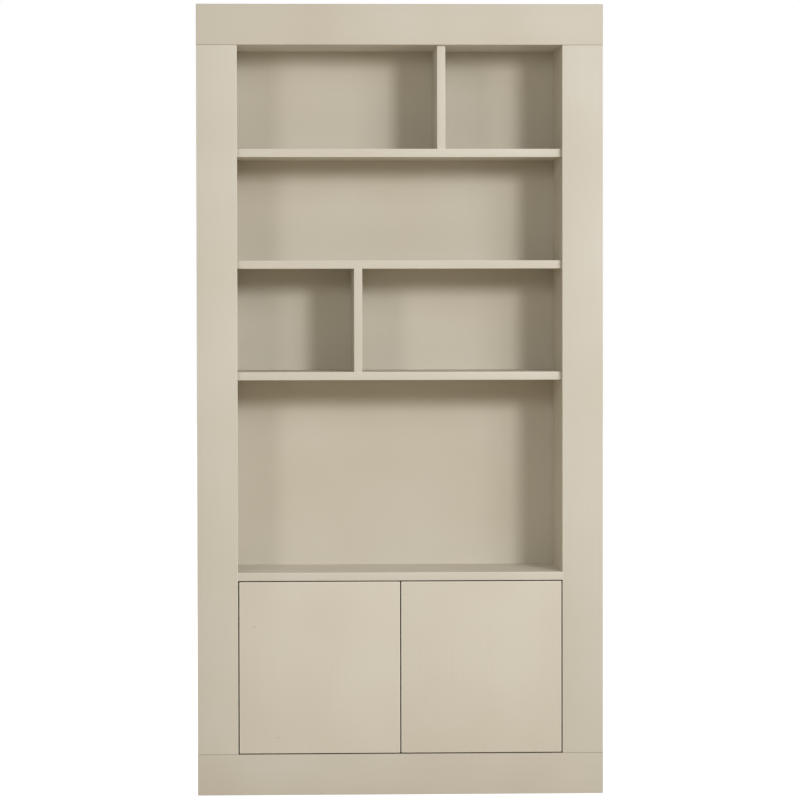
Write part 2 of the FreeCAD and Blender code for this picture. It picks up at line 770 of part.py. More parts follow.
def door(label, left_edge, cup_across, strike_across, inwards):
    """A flat door with two cup bores and its screw holes, drilled from the back."""
    body = new_body(label, (left_edge, FRONT, DOOR_BOTTOM))
    pad(body, rectangle(body, "XY_Plane", ("0", "0"), (DOOR_WIDTH, "door_thickness")), DOOR_HEIGHT)
    ease(body, "door_edge_ease", lambda edge: on_front(edge, 0))
    back = "(-door_thickness)"
    hinge_levels = (LOWER_HINGE, UPPER_HINGE)
    bores(body, "XZ_Plane", [(cup_across, level) for level in hinge_levels], "cup_radius", ROUND_SIDES,
          back, CUP_DEPTH, along_normal=True)
    ear = f"({cup_across} + {inwards} * cup_ear_offset)"
    screws = [(ear, f"({level} + {way} * cup_ear_spacing / 2)") for level in hinge_levels for way in SIDES]
    screws.append((strike_across, f"({DOOR_HEIGHT} + door_gap - latch_drop)"))
    bores(body, "XZ_Plane", screws, "wood_screw_radius", SHANK_SIDES, back, "wood_screw_length",
          along_normal=True)


def wood_screw():
    """Flat-headed screw, head at the origin, shank towards -Y."""
    body = new_body("wood_screw", node=False)
    rods(body, "XZ_Plane", ON_AXIS, SCREW_SHANK, SHANK_SIDES, "0", "wood_screw_length - dowel_end_play")
    rods(body, "XZ_Plane", ON_AXIS, "wood_screw_head_radius", HEAD_SIDES, "0", "wood_screw_head_height",
         against_normal=True)
    return body


# ---------------------------------------------------------------- cup hinge, origin on the pivot

CUP_ACROSS = f"({CUP_CENTRE} - pivot_inset)"
DOOR_BACK = "(door_thickness - pivot_depth)"
CUP_INSIDE = "(arm_eye_radius + arm_eye_play)"
PANEL_FACE = "(-pivot_inset - door_gap)"
ARM_SEAT = f"({PANEL_FACE} + plate_thickness)"
HALF_STRIP = "(arm_thickness / 2)"
CARCASS_FRONT = "(frame_thickness - pivot_depth)"


def hinge_cup():
    """Round cup let into the door, with screw ears and two bosses that hold the pin."""
    body = new_body("hinge_cup", node=False)
    centre = [(CUP_ACROSS, "0")]
    rods(body, "XZ_Plane", centre, "(cup_radius - cup_clearance)", ROUND_SIDES,
         f"({CUP_INSIDE} + cup_floor)", f"{CUP_INSIDE} + cup_floor + {DOOR_BACK}", against_normal=True)
    rods(body, "XZ_Plane", centre, "(cup_radius + cup_flange_width)", ROUND_SIDES, f"(-{DOOR_BACK})",
         "cup_flange_thickness", against_normal=True)
    ear_middle = f"({CUP_ACROSS} + cup_ear_offset)"
    reach = "(cup_ear_spacing / 2 + cup_ear_radius)"
    ears = rectangle(body, "XZ_Plane", (f"({ear_middle} - cup_ear_radius)", f"(-{reach})"),
                     (f"({ear_middle} + cup_ear_radius)", reach), f"(-{DOOR_BACK})")
    pad(body, ears, "cup_flange_thickness", against_normal=True)
    ease(body, "cup_ear_radius / 2",
         lambda edge: runs_along(edge, 1) and abs(edge.BoundBox.Center.z) > body.Shape.BoundBox.ZMax - 1)
    mouth = f"(-{DOOR_BACK} - cup_flange_thickness)"
    bores(body, "XZ_Plane", centre, "(cup_radius - cup_clearance - cup_wall)", ROUND_SIDES, mouth,
          f"{DOOR_BACK} + cup_flange_thickness + {CUP_INSIDE}", along_normal=True)
    near = "(arm_width / 2 + arm_side_play)"
    for start, downwards in ((near, False), (f"(-{near})", True)):
        boss = rectangle(body, "XY_Plane", ("(-cup_boss_radius)", f"(-{CUP_INSIDE} - cup_floor / 2)"),
                         ("cup_boss_radius", "cup_boss_radius"), start)
        pad(body, boss, "cup_boss_width", against_normal=downwards)
    reach = "(arm_width / 2 + arm_side_play + cup_boss_width)"
    bores(body, "XY_Plane", ON_AXIS, "(pivot_pin_radius + boss_clearance)", CAM_SIDES, reach,
          f"2 * {reach}")
    hole_places = [(ear_middle, f"({way} * cup_ear_spacing / 2)") for way in SIDES]
    bores(body, "XZ_Plane", hole_places, "wood_screw_radius", SHANK_SIDES, mouth, "cup_flange_thickness",
          along_normal=True)
    return body


def hinge_pin():
    """The pin that the arm turns on, held in the cup's bosses."""
    body = new_body("hinge_pin", node=False)
    pin = circles(body, "XY_Plane", ON_AXIS, "pivot_pin_radius")
    pad(body, pin, "arm_width + 2 * (arm_side_play + cup_boss_width)", both_ways=True)
    return body


def hinge_arm():
    """A gooseneck strip: out of the cup, round the door's swinging edge, back along the side panel."""
    body = new_body("hinge_arm", node=False)
    mouth_in = f"(arm_mouth_reach - {HALF_STRIP})"
    mouth_out = f"(arm_mouth_reach + {HALF_STRIP})"
    jog_low = f"(arm_jog_depth - {HALF_STRIP})"
    jog_high = f"(arm_jog_depth + {HALF_STRIP})"
    neck_in = f"(arm_neck_reach - {HALF_STRIP})"
    neck_out = f"(arm_neck_reach + {HALF_STRIP})"
    turn_low = f"(arm_return_depth - {HALF_STRIP})"
    turn_high = f"(arm_return_depth + {HALF_STRIP})"
    strip_face = f"({ARM_SEAT} + arm_thickness)"
    strip = [("0", f"(-{HALF_STRIP})"), (mouth_out, f"(-{HALF_STRIP})"), (mouth_out, jog_low),
             (neck_out, jog_low), (neck_out, turn_high), (strip_face, turn_high),
             (strip_face, "arm_length"), (ARM_SEAT, "arm_length"), (ARM_SEAT, turn_low),
             (neck_in, turn_low), (neck_in, jog_high), (mouth_in, jog_high), (mouth_in, HALF_STRIP),
             ("0", HALF_STRIP)]
    pad(body, outline(body, "XY_Plane", strip), "arm_width", both_ways=True)
    ease(body, "arm_bend_ease",
         lambda edge: runs_along(edge, 2)
         and abs(edge.BoundBox.XMin) > TOUCH
         and abs(edge.BoundBox.YMin - body.Shape.BoundBox.YMax) > TOUCH)
    rods(body, "XY_Plane", ON_AXIS, "arm_eye_radius", CAM_SIDES, "(-arm_width / 2)", "arm_width")
    bore = circles(body, "XY_Plane", ON_AXIS, "pivot_pin_radius + pivot_clearance")
    pocket(body, bore, "arm_width", both_ways=True)
    screws = [(depth, "0") for depth in ("arm_fixing_screw_depth", "arm_adjusting_screw_depth")]
    bores(body, "YZ_Plane", screws, "arm_screw_radius", SHANK_SIDES, ARM_SEAT, "arm_thickness",
          along_normal=True)
    return body


def mounting_plate():
    """A cross-shaped plate on the side panel: a seat for the arm and two screw wings."""
    body = new_body("mounting_plate", node=False)
    half = "(plate_width / 2)"
    seat = rectangle(body, "YZ_Plane", ("plate_front_depth", f"(-{half})"),
                     ("(plate_front_depth + plate_length)", half), PANEL_FACE)
    pad(body, seat, "plate_thickness")
    middle = f"({CARCASS_FRONT} + plate_screw_setback)"
    wings = rectangle(body, "YZ_Plane", (f"({middle} - plate_wing_width / 2)", "(-plate_wing_height / 2)"),
                      (f"({middle} + plate_wing_width / 2)", "(plate_wing_height / 2)"), PANEL_FACE)
    pad(body, wings, "plate_wing_thickness")
    ease(body, "plate_corner_ease",
         lambda edge: runs_along(edge, 0) and abs(edge.BoundBox.Center.z) > body.Shape.BoundBox.ZMax - 1)
    hole_places = [(middle, f"({way} * plate_screw_spacing / 2)") for way in SIDES]
    bores(body, "YZ_Plane", hole_places, "wood_screw_radius", SHANK_SIDES, PANEL_FACE,
          "plate_wing_thickness", along_normal=True)
    thread_places = [(depth, "0") for depth in ("arm_fixing_screw_depth", "arm_adjusting_screw_depth")]
    bores(body, "YZ_Plane", thread_places, "arm_screw_radius", SHANK_SIDES, PANEL_FACE, "plate_thickness",
          along_normal=True)
    return body


def arm_screw():
    """Machine screw through the arm into the plate, along X, head seated at the origin."""
    body = new_body("arm_screw", node=False)
    rods(body, "YZ_Plane", ON_AXIS, "(arm_screw_radius - dowel_clearance)", SHANK_SIDES, "0",
         "arm_thickness + plate_thickness - dowel_end_play", against_normal=True)
    rods(body, "YZ_Plane", ON_AXIS, "arm_screw_head_radius", HEAD_SIDES, "0", "arm_screw_head_height")
    return body


def plate_screw():
    """Wood screw through a plate wing, along X, head seated at the origin."""
    body = new_body("plate_screw", node=False)
    rods(body, "YZ_Plane", ON_AXIS, SCREW_SHANK, SHANK_SIDES, "0",
         "plate_wing_thickness + wood_screw_length - dowel_end_play", against_normal=True)
    rods(body, "YZ_Plane", ON_AXIS, "wood_screw_head_radius", HEAD_SIDES, "0", "wood_screw_head_height")
    return body


def hinges(hand, side, turn, templates):
    """Both hinges of one door. The right-hand ones are the left-hand ones turned over."""
    pivot_across = f"({side} * ({OPENING} / 2 - door_gap - pivot_inset))"
    pivot_depth = f"({FRONT} + pivot_depth)"
    levels = [f"({DOOR_BOTTOM} + {height})" for height in (LOWER_HINGE, UPPER_HINGE)]
    pivots = [(pivot_across, pivot_depth, level) for level in levels]
    group(f"{hand}_hinge_cups", templates["cup"], pivots, [turn] * len(pivots))
    group(f"{hand}_hinge_pins", templates["pin"], pivots, [turn] * len(pivots))
    group(f"{hand}_hinge_arms", templates["arm"], pivots, [turn] * len(pivots))
    group(f"{hand}_mounting_plates", templates["plate"], pivots, [turn] * len(pivots))
    ear = f"({pivot_across} - {side} * ({CUP_ACROSS} + cup_ear_offset))"
    ear_depth = f"({FRONT} + door_thickness + cup_flange_thickness)"
    ears = [(ear, ear_depth, f"({level} + {way} * cup_ear_spacing / 2)")
            for level in levels for way in SIDES]
    group(f"{hand}_cup_screws", templates["wood_screw"], ears, [turn] * len(ears))
    wing = f"({side} * ({OPENING} / 2 - plate_wing_thickness))"
    wing_depth = f"({FRAME_BACK} + plate_screw_setback)"
    wings = [(wing, wing_depth, f"({level} + {way} * plate_screw_spacing / 2)")
             for level in levels for way in SIDES]
    group(f"{hand}_plate_screws", templates["plate_screw"], wings, [turn] * len(wings))
    strip = f"({side} * ({OPENING} / 2 - plate_thickness - arm_thickness))"
    strips = [(strip, f"({pivot_depth} + {depth})", level)
              for level in levels for depth in ("arm_fixing_screw_depth", "arm_adjusting_screw_depth")]
    group(f"{hand}_arm_screws", templates["arm_screw"], strips, [turn] * len(strips))


# ---------------------------------------------------------------- push latch

def latch_screw_places():
    """Screws of both latches, up into the deck."""
    depth = f"({FRONT} + {LATCH_FRONT} + latch_length / 2)"
    return [(f"({side} * latch_offset + {way} * (latch_width + latch_ear_width) / 2)", depth)
            for side in SIDES for way in SIDES]


def latch_housing():
    """Moulded housing under the deck: origin on the plunger's axis, in the door's front plane."""
    body = new_body("latch_housing", node=False)
    top = "latch_drop"
    front = f"(-{LATCH_FRONT})"
    case = rectangle(body, "XZ_Plane", ("(-latch_width / 2)", f"({top} - latch_height)"),
                     ("(latch_width / 2)", top), front)
    pad(body, case, "latch_length", against_normal=True)
    ease(body, "latch_corner_ease", lambda edge: runs_along(edge, 1) and edge.BoundBox.ZMax < 0)
    ear_reach = "(latch_width / 2 + latch_ear_width)"
    ear_middle = f"({LATCH_FRONT} + latch_length / 2)"
    ears = rectangle(body, "XY_Plane", (f"(-{ear_reach})", f"({ear_middle} - latch_ear_length / 2)"),
                     (ear_reach, f"({ear_middle} + latch_ear_length / 2)"),
                     f"({top} - latch_ear_thickness)")
    pad(body, ears, "latch_ear_thickness")
    bores(body, "XZ_Plane", ON_AXIS, "plunger_chamber_radius", CAM_SIDES, f"({front} - latch_wall)",
          "latch_length - 2 * latch_wall")
    mouth = circles(body, "XZ_Plane", ON_AXIS, "plunger_radius + plunger_clearance", front)
    pocket(body, mouth, "latch_wall")
    holes = [(f"({way} * (latch_width + latch_ear_width) / 2)", ear_middle) for way in SIDES]
    bores(body, "XY_Plane", holes, "wood_screw_radius", SHANK_SIDES, top, "latch_ear_thickness")
    return body


def latch_plunger():
    """Magnetic plunger: a rod that stops short of the strike plate and a piston in the chamber."""
    body = new_body("latch_plunger", node=False)
    tip = "(door_thickness + strike_thickness + plunger_tip_gap)"
    piston = f"({LATCH_FRONT} + latch_wall + plunger_stop_gap)"
    pad(body, circles(body, "XZ_Plane", ON_AXIS, "plunger_radius", f"(-{tip})"), f"{piston} - {tip}",
        against_normal=True)
    rods(body, "XZ_Plane", ON_AXIS, "plunger_piston_radius", CAM_SIDES, f"(-{piston})",
         "plunger_piston_length", against_normal=True)
    return body


def latch_screw():
    """Wood screw up through a latch ear, head seated at the origin."""
    body = new_body("latch_screw", node=False)
    rods(body, "XY_Plane", ON_AXIS, SCREW_SHANK, SHANK_SIDES, "0",
         "latch_ear_thickness + wood_screw_length - dowel_end_play")
    rods(body, "XY_Plane", ON_AXIS, "wood_screw_head_radius", HEAD_SIDES, "0", "wood_screw_head_height",
         against_normal=True)
    return body


def strike_plate():
    """Round steel disc on the door's back for the magnet to hold."""
    body = new_body("strike_plate", node=False)
    back = "(-door_thickness)"
    rods(body, "XZ_Plane", ON_AXIS, "strike_radius", ROUND_SIDES, back, "strike_thickness",
         against_normal=True)
    bores(body, "XZ_Plane", ON_AXIS, "wood_screw_radius", SHANK_SIDES, back, "strike_thickness")
    return body


def strike_screw():
    """Countersunk screw flush with the strike plate."""
    body = new_body("strike_screw", node=False)
    face = "(-door_thickness - strike_thickness)"
    rods(body, "XZ_Plane", ON_AXIS, SCREW_SHANK, SHANK_SIDES, face,
         "strike_thickness + wood_screw_length - dowel_end_play")
    return body


def latches(hand, side, templates):
    """The push latch of one door and its strike plate."""
    at = [(f"({side} * latch_offset)", FRONT, f"({DECK} - latch_drop)")]
    group(f"{hand}_latch_housing", templates["housing"], at)
    group(f"{hand}_latch_plunger", templates["plunger"], at)
    group(f"{hand}_strike_plate", templates["strike"], at)
    group(f"{hand}_strike_screw", templates["strike_screw"], at)


# ---------------------------------------------------------------- assembly

rail("bottom_rail", BASE, "bottom_rail_height", FLOOR_TOP, drill_up=False)
rail("top_rail", CEILING, "top_rail_height", CEILING, drill_up=True)
for hand, side in (("left", "(-1)"), ("right", "1")):
    stile(f"{hand}_stile", side)
    outer_side(f"{hand}_outer_side_panel", side)
    inner_side(f"{hand}_inner_side_panel", side)
    side_spacers(f"{hand}_side_spacers", side)
frame_dowels()
for label, (underside, thickness, overhang, joint) in FIXED_BOARDS.items():
    fixed_board(label, underside, thickness, overhang, joint)
for label, (across, board_under, board_over) in DIVIDERS.items():
    divider(label, across, board_under, board_over)
top_board_reach = "(overall_width / 2 - outer_side_thickness)"
board("top_board", (f"(-{top_board_reach})", FRAME_BACK), (top_board_reach, BACK_PANEL_FRONT),
      TOP_BOARD, "top_board_thickness")
rear_rail_low = (OPENING_LEFT, f"({BACK_PANEL_FRONT} - rear_rail_thickness)")
rear_rail_high = (f"({OPENING} / 2)", BACK_PANEL_FRONT)
board("rear_top_rail", rear_rail_low, rear_rail_high, f"({CEILING} + ceiling_thickness)",
      f"{TOP_BOARD} - {CEILING} - ceiling_thickness")
board("rear_plinth_rail", rear_rail_low, rear_rail_high, BASE, f"{FLOOR} - {BASE}")
back_panel("lower_back_panel", BASE, BACK_JOINT)
back_panel("upper_back_panel", BACK_JOINT, TOP)
back_screw_places = [(across, BACK_PANEL_BACK, level) for _, _, (across, level) in BACK_SCREWS]
group("back_panel_screws", back_screw(), back_screw_places)
group("shelf_dowels", board_dowel(), *at_both_ends(DOWEL_DEPTHS))
divider_dowels()
cam_discs()
group("cam_bolts", cam_bolt(), *at_both_ends(BOLT_DEPTHS))
capped = [underside for label, (underside, *_) in cam_boards().items() if label != "cabinet_floor_panel"]
cap_places = [(across, depth, underside) for underside in capped for across, depth in cam_places()]
group("cam_caps", cam_cap(), cap_places)
glides()

strike_from_middle = "(latch_offset - door_gap / 2)"
door("left_door", f"({OPENING_LEFT} + door_gap)", CUP_CENTRE, f"({DOOR_WIDTH} - {strike_from_middle})", "1")
door("right_door", "(door_gap / 2)", f"({DOOR_WIDTH} - {CUP_CENTRE})", strike_from_middle, "(-1)")
hinge_pieces = {
    "cup": hinge_cup(),
    "pin": hinge_pin(),
    "arm": hinge_arm(),
    "plate": mounting_plate(),
    "wood_screw": wood_screw(),
    "plate_screw": plate_screw(),
    "arm_screw": arm_screw(),
}
hinges("left", "(-1)", STRAIGHT, hinge_pieces)
hinges("right", "1", ABOUT_Y, hinge_pieces)
latch_pieces = {
    "housing": latch_housing(),
    "plunger": latch_plunger(),
    "strike": strike_plate(),
    "strike_screw": strike_screw(),
}
latches("left", "(-1)", latch_pieces)
latches("right", "1", latch_pieces)
screw_seat = f"({DECK} - latch_ear_thickness)"
latch_screw_seats = [(across, depth, screw_seat) for across, depth in latch_screw_places()]
group("latch_screws", latch_screw(), latch_screw_seats)

# ---------------------------------------------------------------- check and write

doc.recompute()
for thing in doc.Objects:
    if "Invalid" in thing.State or "Error" in thing.State:
        raise RuntimeError(f"{thing.Label} failed: {thing.State}")
for node in nodes:
    if node.Shape.isNull() or not node.Shape.isValid() or not node.Shape.Solids:
        raise RuntimeError(f"{node.Label} has no valid solid")
os.makedirs("parts", exist_ok=True)
for node in nodes:
    node.Shape.exportStep(os.path.join("parts", f"{node.Label}.step"))
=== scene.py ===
import math

import bmesh
import bpy
from mathutils import Matrix, Vector


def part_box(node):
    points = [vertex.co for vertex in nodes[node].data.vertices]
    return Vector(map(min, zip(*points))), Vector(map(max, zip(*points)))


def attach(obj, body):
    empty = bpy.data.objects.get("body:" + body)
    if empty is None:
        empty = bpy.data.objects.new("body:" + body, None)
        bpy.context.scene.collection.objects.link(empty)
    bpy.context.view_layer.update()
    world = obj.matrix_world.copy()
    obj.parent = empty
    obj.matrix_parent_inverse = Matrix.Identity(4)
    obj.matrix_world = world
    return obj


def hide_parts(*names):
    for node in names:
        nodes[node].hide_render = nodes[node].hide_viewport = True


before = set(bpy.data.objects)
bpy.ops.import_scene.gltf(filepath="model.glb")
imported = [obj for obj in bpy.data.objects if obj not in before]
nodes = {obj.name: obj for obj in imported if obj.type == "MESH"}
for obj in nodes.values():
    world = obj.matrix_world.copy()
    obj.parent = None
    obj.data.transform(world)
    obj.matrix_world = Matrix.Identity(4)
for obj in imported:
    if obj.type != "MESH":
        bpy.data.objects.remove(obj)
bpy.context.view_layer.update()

MM = 0.001


# ---------------------------------------------------------------- camera, light and studio

CAMERA_PLACE = (-0.4382, -11.3588, 1.381)
# in degrees: yaw turns the camera to its right, pitch tips it up, roll lifts its right side
CAMERA_YAW = 2.2391
CAMERA_PITCH = -1.5746
CAMERA_ROLL = -0.0872
CAMERA_LENS = 186.165
SENSOR = 36
# how far the camera sees, in metres
SIGHT = 200

KEY_PLACE = (2.21, -6.475, 2.66)
KEY_POWER = 150
KEY_SIZE = 1.0
FILL_PLACE = (-2.51, -6.175, 2.5)
FILL_POWER = 62
FILL_SIZE = 1.1
BROAD_PLACE = (3.4, -6.6, 3.2)
BROAD_POWER = 111
BROAD_SIZE = 2.4
LAMP_AIM = (0, 0, 0.7)
ROOM_STRENGTH = 0.355
FLOOR_SIZE = 60
FLOOR_GLOW = 0.93
WHITE = (1, 1, 1, 1)


def linear(code):
    """An sRGB hex colour as the linear colour that a shader takes."""
    parts = [int(code[start:start + 2], 16) / 255 for start in (1, 3, 5)]
    parts = [part / 12.92 if part <= 0.04045 else ((part + 0.055) / 1.055) ** 2.4 for part in parts]
    return (*parts, 1)


def add(tree, kind, inputs=(), **settings):
    """Adds a node with its settings. An input takes a plain value or another node's output."""
    node = tree.nodes.new(kind)
    for name, value in settings.items():
        setattr(node, name, value)
    for entry, value in dict(inputs).items():
        if isinstance(value, bpy.types.NodeSocket):
            tree.links.new(value, node.inputs[entry])
        else:
            node.inputs[entry].default_value = value
    return node


def new_material(name):
    """A material with nothing in it yet, and its node tree."""
    material = bpy.data.materials.new(name)
    material.use_nodes = True
    tree = material.node_tree
    tree.nodes.clear()
    return material, tree


def make_camera():
    """A long lens far in front, a little above the bookcase's middle and to its left."""
    yaw, pitch, roll = (math.radians(angle) for angle in (CAMERA_YAW, CAMERA_PITCH, CAMERA_ROLL))
    ahead = Vector((math.sin(yaw) * math.cos(pitch), math.cos(yaw) * math.cos(pitch), math.sin(pitch)))
    level = Vector((math.cos(yaw), -math.sin(yaw), 0))
    upright = level.cross(ahead)
    right = math.cos(roll) * level + math.sin(roll) * upright
    up = math.cos(roll) * upright - math.sin(roll) * level
    lens = bpy.data.cameras.new("camera")
    lens.sensor_width = SENSOR
    lens.lens = CAMERA_LENS
    lens.clip_end = SIGHT
    camera = bpy.data.objects.new("camera", lens)
    bpy.context.scene.collection.objects.link(camera)
    turn = Matrix((right, up, -ahead)).transposed().to_4x4()
    camera.matrix_world = Matrix.Translation(CAMERA_PLACE) @ turn
    bpy.context.scene.camera = camera


def make_lamp(name, place, power, size, colour):
    """A round soft lamp that looks at the lower middle of the bookcase."""
    light = bpy.data.lights.new(name, "AREA")
    light.shape = "DISK"
    light.size = size
    light.energy = power
    light.color = linear(colour)[:3]
    lamp = bpy.data.objects.new(name, light)
    bpy.context.scene.collection.objects.link(lamp)
    lamp.location = place
    way = Vector(LAMP_AIM) - Vector(place)
    lamp.rotation_euler = way.to_track_quat("-Z", "Y").to_euler()


def seen_directly(tree):
    """1 for what the camera sees, straight or through a mirror or glass, 0 for what lights the object."""
    path = add(tree, "ShaderNodeLightPath").outputs
    mirrored = add(tree, "ShaderNodeMath", {0: path["Is Camera Ray"], 1: path["Is Glossy Ray"]},
                   operation="MAXIMUM")
    passed = add(tree, "ShaderNodeMath", {0: mirrored.outputs[0], 1: path["Is Transmission Ray"]},
                 operation="MAXIMUM")
    return passed.outputs[0]


def make_room():
    """A warm pale room that lights the object, and white where the camera looks past it."""
    world = bpy.data.worlds.new("room")
    bpy.context.scene.world = world
    world.use_nodes = True
    tree = world.node_tree
    tree.nodes.clear()
    lit = add(tree, "ShaderNodeBackground", {"Color": linear("#FFF8E9"), "Strength": ROOM_STRENGTH})
    white = add(tree, "ShaderNodeBackground", {"Color": WHITE, "Strength": 1})
    both = add(tree, "ShaderNodeMixShader",
               {0: seen_directly(tree), 1: lit.outputs[0], 2: white.outputs[0]})
    add(tree, "ShaderNodeOutputWorld", {"Surface": both.outputs[0]})


def make_floor():
    """What the eye sees is a white sweep with a trace of shadow; what lights the wood is a pale floor."""
    bpy.ops.object.select_all(action="DESELECT")
    bpy.ops.mesh.primitive_plane_add(size=FLOOR_SIZE)
    floor = bpy.context.object
    floor.name = "studio_floor"
    material, tree = new_material("pale_studio_floor")
    glow = add(tree, "ShaderNodeEmission", {"Color": WHITE, "Strength": FLOOR_GLOW})
    pale = add(tree, "ShaderNodeBsdfDiffuse", {"Color": linear("#F2EFEA")})
    seen = add(tree, "ShaderNodeAddShader", {0: glow.outputs[0], 1: pale.outputs[0]})
    warm = add(tree, "ShaderNodeBsdfDiffuse", {"Color": linear("#CFC4B2")})
    both = add(tree, "ShaderNodeMixShader",
               {0: seen_directly(tree), 1: warm.outputs[0], 2: seen.outputs[0]})
    add(tree, "ShaderNodeOutputMaterial", {"Surface": both.outputs[0]})
    floor.data.materials.append(material)


make_camera()
make_lamp("key_from_the_right", KEY_PLACE, KEY_POWER, KEY_SIZE, "#FFFFFF")
make_lamp("fill_from_the_left", FILL_PLACE, FILL_POWER, FILL_SIZE, "#FFFFFF")
make_lamp("broad_from_the_right", BROAD_PLACE, BROAD_POWER, BROAD_SIZE, "#F5F8FF")
make_room()
make_floor()
bpy.context.scene.view_settings.view_transform = "Standard"


# ---------------------------------------------------------------- materials

ACROSS, UP = "X", "Z"
# how far the grain of lacquered and of bare wood is drawn out along the board
LACQUERED_GRAIN = {UP: (1, 1, 40), ACROSS: (40, 1, 1)}
BARE_GRAIN = {UP: (1, 1, 30), ACROSS: (30, 1, 1)}
# nearly all of a soft noise lies between these two values
FROM_NOISE = {"From Min": 0.3, "From Max": 0.7}
# the sockets of a Mix node for its two colours, and for the blend that it gives
FIRST, SECOND, BLEND = 6, 7, 2

KNOT_COLOUR = "#B4A892"
KNOT_HEART = 0.5 * MM
KNOT_RIM = 2.6 * MM
# lengths across the board count this much, so a knot is wider than it is high
KNOT_SQUEEZE = 0.6
# how much lacquer hides the heart of a knot
KNOT_COVER = 0.35
# on the left door, across the front and up from the floor, in millimetres
DOOR_KNOTS = ((-396, 460), (-332, 158))


def pattern(tree, size, stretch=(1, 1, 1), detail=2):
    """Soft noise whose grains are about size millimetres, drawn out by a stretch along each axis."""
    place = add(tree, "ShaderNodeTexCoord").outputs["Object"]
    scale = [1 / (size * MM * each) for each in stretch]
    scaled = add(tree, "ShaderNodeMapping", {"Vector": place, "Scale": scale})
    noise = add(tree, "ShaderNodeTexNoise", {"Vector": scaled.outputs[0], "Scale": 1, "Detail": detail})
    return noise.outputs["Fac"]


def cover(tree, across, up):
    """How much lacquer hides a knot: part of it at the knot's heart, all of it past the knot's rim."""
    place = add(tree, "ShaderNodeTexCoord").outputs["Object"]
    # the depth is left out, so the knot goes straight through the door
    flat = add(tree, "ShaderNodeMapping", {"Vector": place, "Scale": (KNOT_SQUEEZE, 0, 1)})
    heart = (KNOT_SQUEEZE * across * MM, 0, up * MM)
    away = add(tree, "ShaderNodeVectorMath", {0: flat.outputs[0], 1: heart}, operation="DISTANCE")
    covered = add(tree, "ShaderNodeMapRange", {"Value": away.outputs["Value"], "From Min": KNOT_HEART,
                                               "From Max": KNOT_RIM, "To Min": KNOT_COVER})
    return covered.outputs["Result"]


def painted_pine(name, colour, shade, grain=UP, dullness=0.6, sheen=0.45, knots=()):
    """Satin lacquer sprayed on sanded pine: even and soft, with a trace of the grain and a fine
    orange peel; the tone drifts a little from board to board. A filled knot shows as a faint spot."""
    material, tree = new_material(name)
    # real growth rings are 1 to 3 mm apart; drawn at 6 mm so that they show at a distance
    rings = pattern(tree, 6, LACQUERED_GRAIN[grain], detail=3)
    # the tone drifts over some 26 cm, and orange peel is 1 to 2 mm across
    drift = pattern(tree, 260, detail=1)
    peel = pattern(tree, 1.4, detail=1)
    drifted = add(tree, "ShaderNodeMapRange", {"Value": drift, **FROM_NOISE})
    toned = add(tree, "ShaderNodeMix", {0: drifted.outputs["Result"], FIRST: linear(colour),
                                        SECOND: linear(shade)}, data_type="RGBA")
    faint_rings = add(tree, "ShaderNodeMapRange", {"Value": rings, **FROM_NOISE, "To Max": 0.35})
    ringed = add(tree, "ShaderNodeMix", {0: faint_rings.outputs["Result"], FIRST: toned.outputs[BLEND],
                                         SECOND: linear(shade)}, data_type="RGBA")
    lacquer = ringed.outputs[BLEND]
    for across, up in knots:
        spotted = add(tree, "ShaderNodeMix", {0: cover(tree, across, up), FIRST: linear(KNOT_COLOUR),
                                              SECOND: lacquer}, data_type="RGBA")
        lacquer = spotted.outputs[BLEND]
    rough = add(tree, "ShaderNodeMapRange", {"Value": drift, **FROM_NOISE, "To Min": dullness - 0.05,
                                             "To Max": dullness + 0.06})
    raised = add(tree, "ShaderNodeBump", {"Height": rings, "Strength": 0.12, "Distance": 0.4 * MM})
    dimpled = add(tree, "ShaderNodeBump", {"Height": peel, "Normal": raised.outputs[0], "Strength": 0.1,
                                           "Distance": 0.1 * MM})
    shader = add(tree, "ShaderNodeBsdfPrincipled",
                 {"Base Color": lacquer, "Roughness": rough.outputs["Result"], "IOR": 1.42,
                  "Specular IOR Level": sheen, "Normal": dimpled.outputs[0]})
    add(tree, "ShaderNodeOutputMaterial", {"Surface": shader.outputs[0]})
    return material


def bare_wood(name, pale, dark, grain=UP, size=5):
    """Planed unpainted softwood or beech: straight bands of early and late growth, matt."""
    material, tree = new_material(name)
    bands = pattern(tree, size, BARE_GRAIN[grain], detail=4)
    # pores are a tenth of a millimetre wide; drawn at 0.8 mm so that they show
    pores = pattern(tree, 0.8, BARE_GRAIN[grain], detail=1)
    clear_bands = add(tree, "ShaderNodeMapRange", {"Value": bands, **FROM_NOISE})
    banded = add(tree, "ShaderNodeMix", {0: clear_bands.outputs["Result"], FIRST: linear(pale),
                                         SECOND: linear(dark)}, data_type="RGBA")
    faint_pores = add(tree, "ShaderNodeMapRange", {"Value": pores, **FROM_NOISE, "To Max": 0.25})
    speckled = add(tree, "ShaderNodeMix", {0: faint_pores.outputs["Result"], FIRST: banded.outputs[BLEND],
                                           SECOND: linear(dark)}, data_type="RGBA")
    raised = add(tree, "ShaderNodeBump", {"Height": bands, "Strength": 0.2, "Distance": 0.3 * MM})
    shader = add(tree, "ShaderNodeBsdfPrincipled",
                 {"Base Color": speckled.outputs[BLEND], "Roughness": 0.7, "IOR": 1.5,
                  "Normal": raised.outputs[0]})
    add(tree, "ShaderNodeOutputMaterial", {"Surface": shader.outputs[0]})
    return material


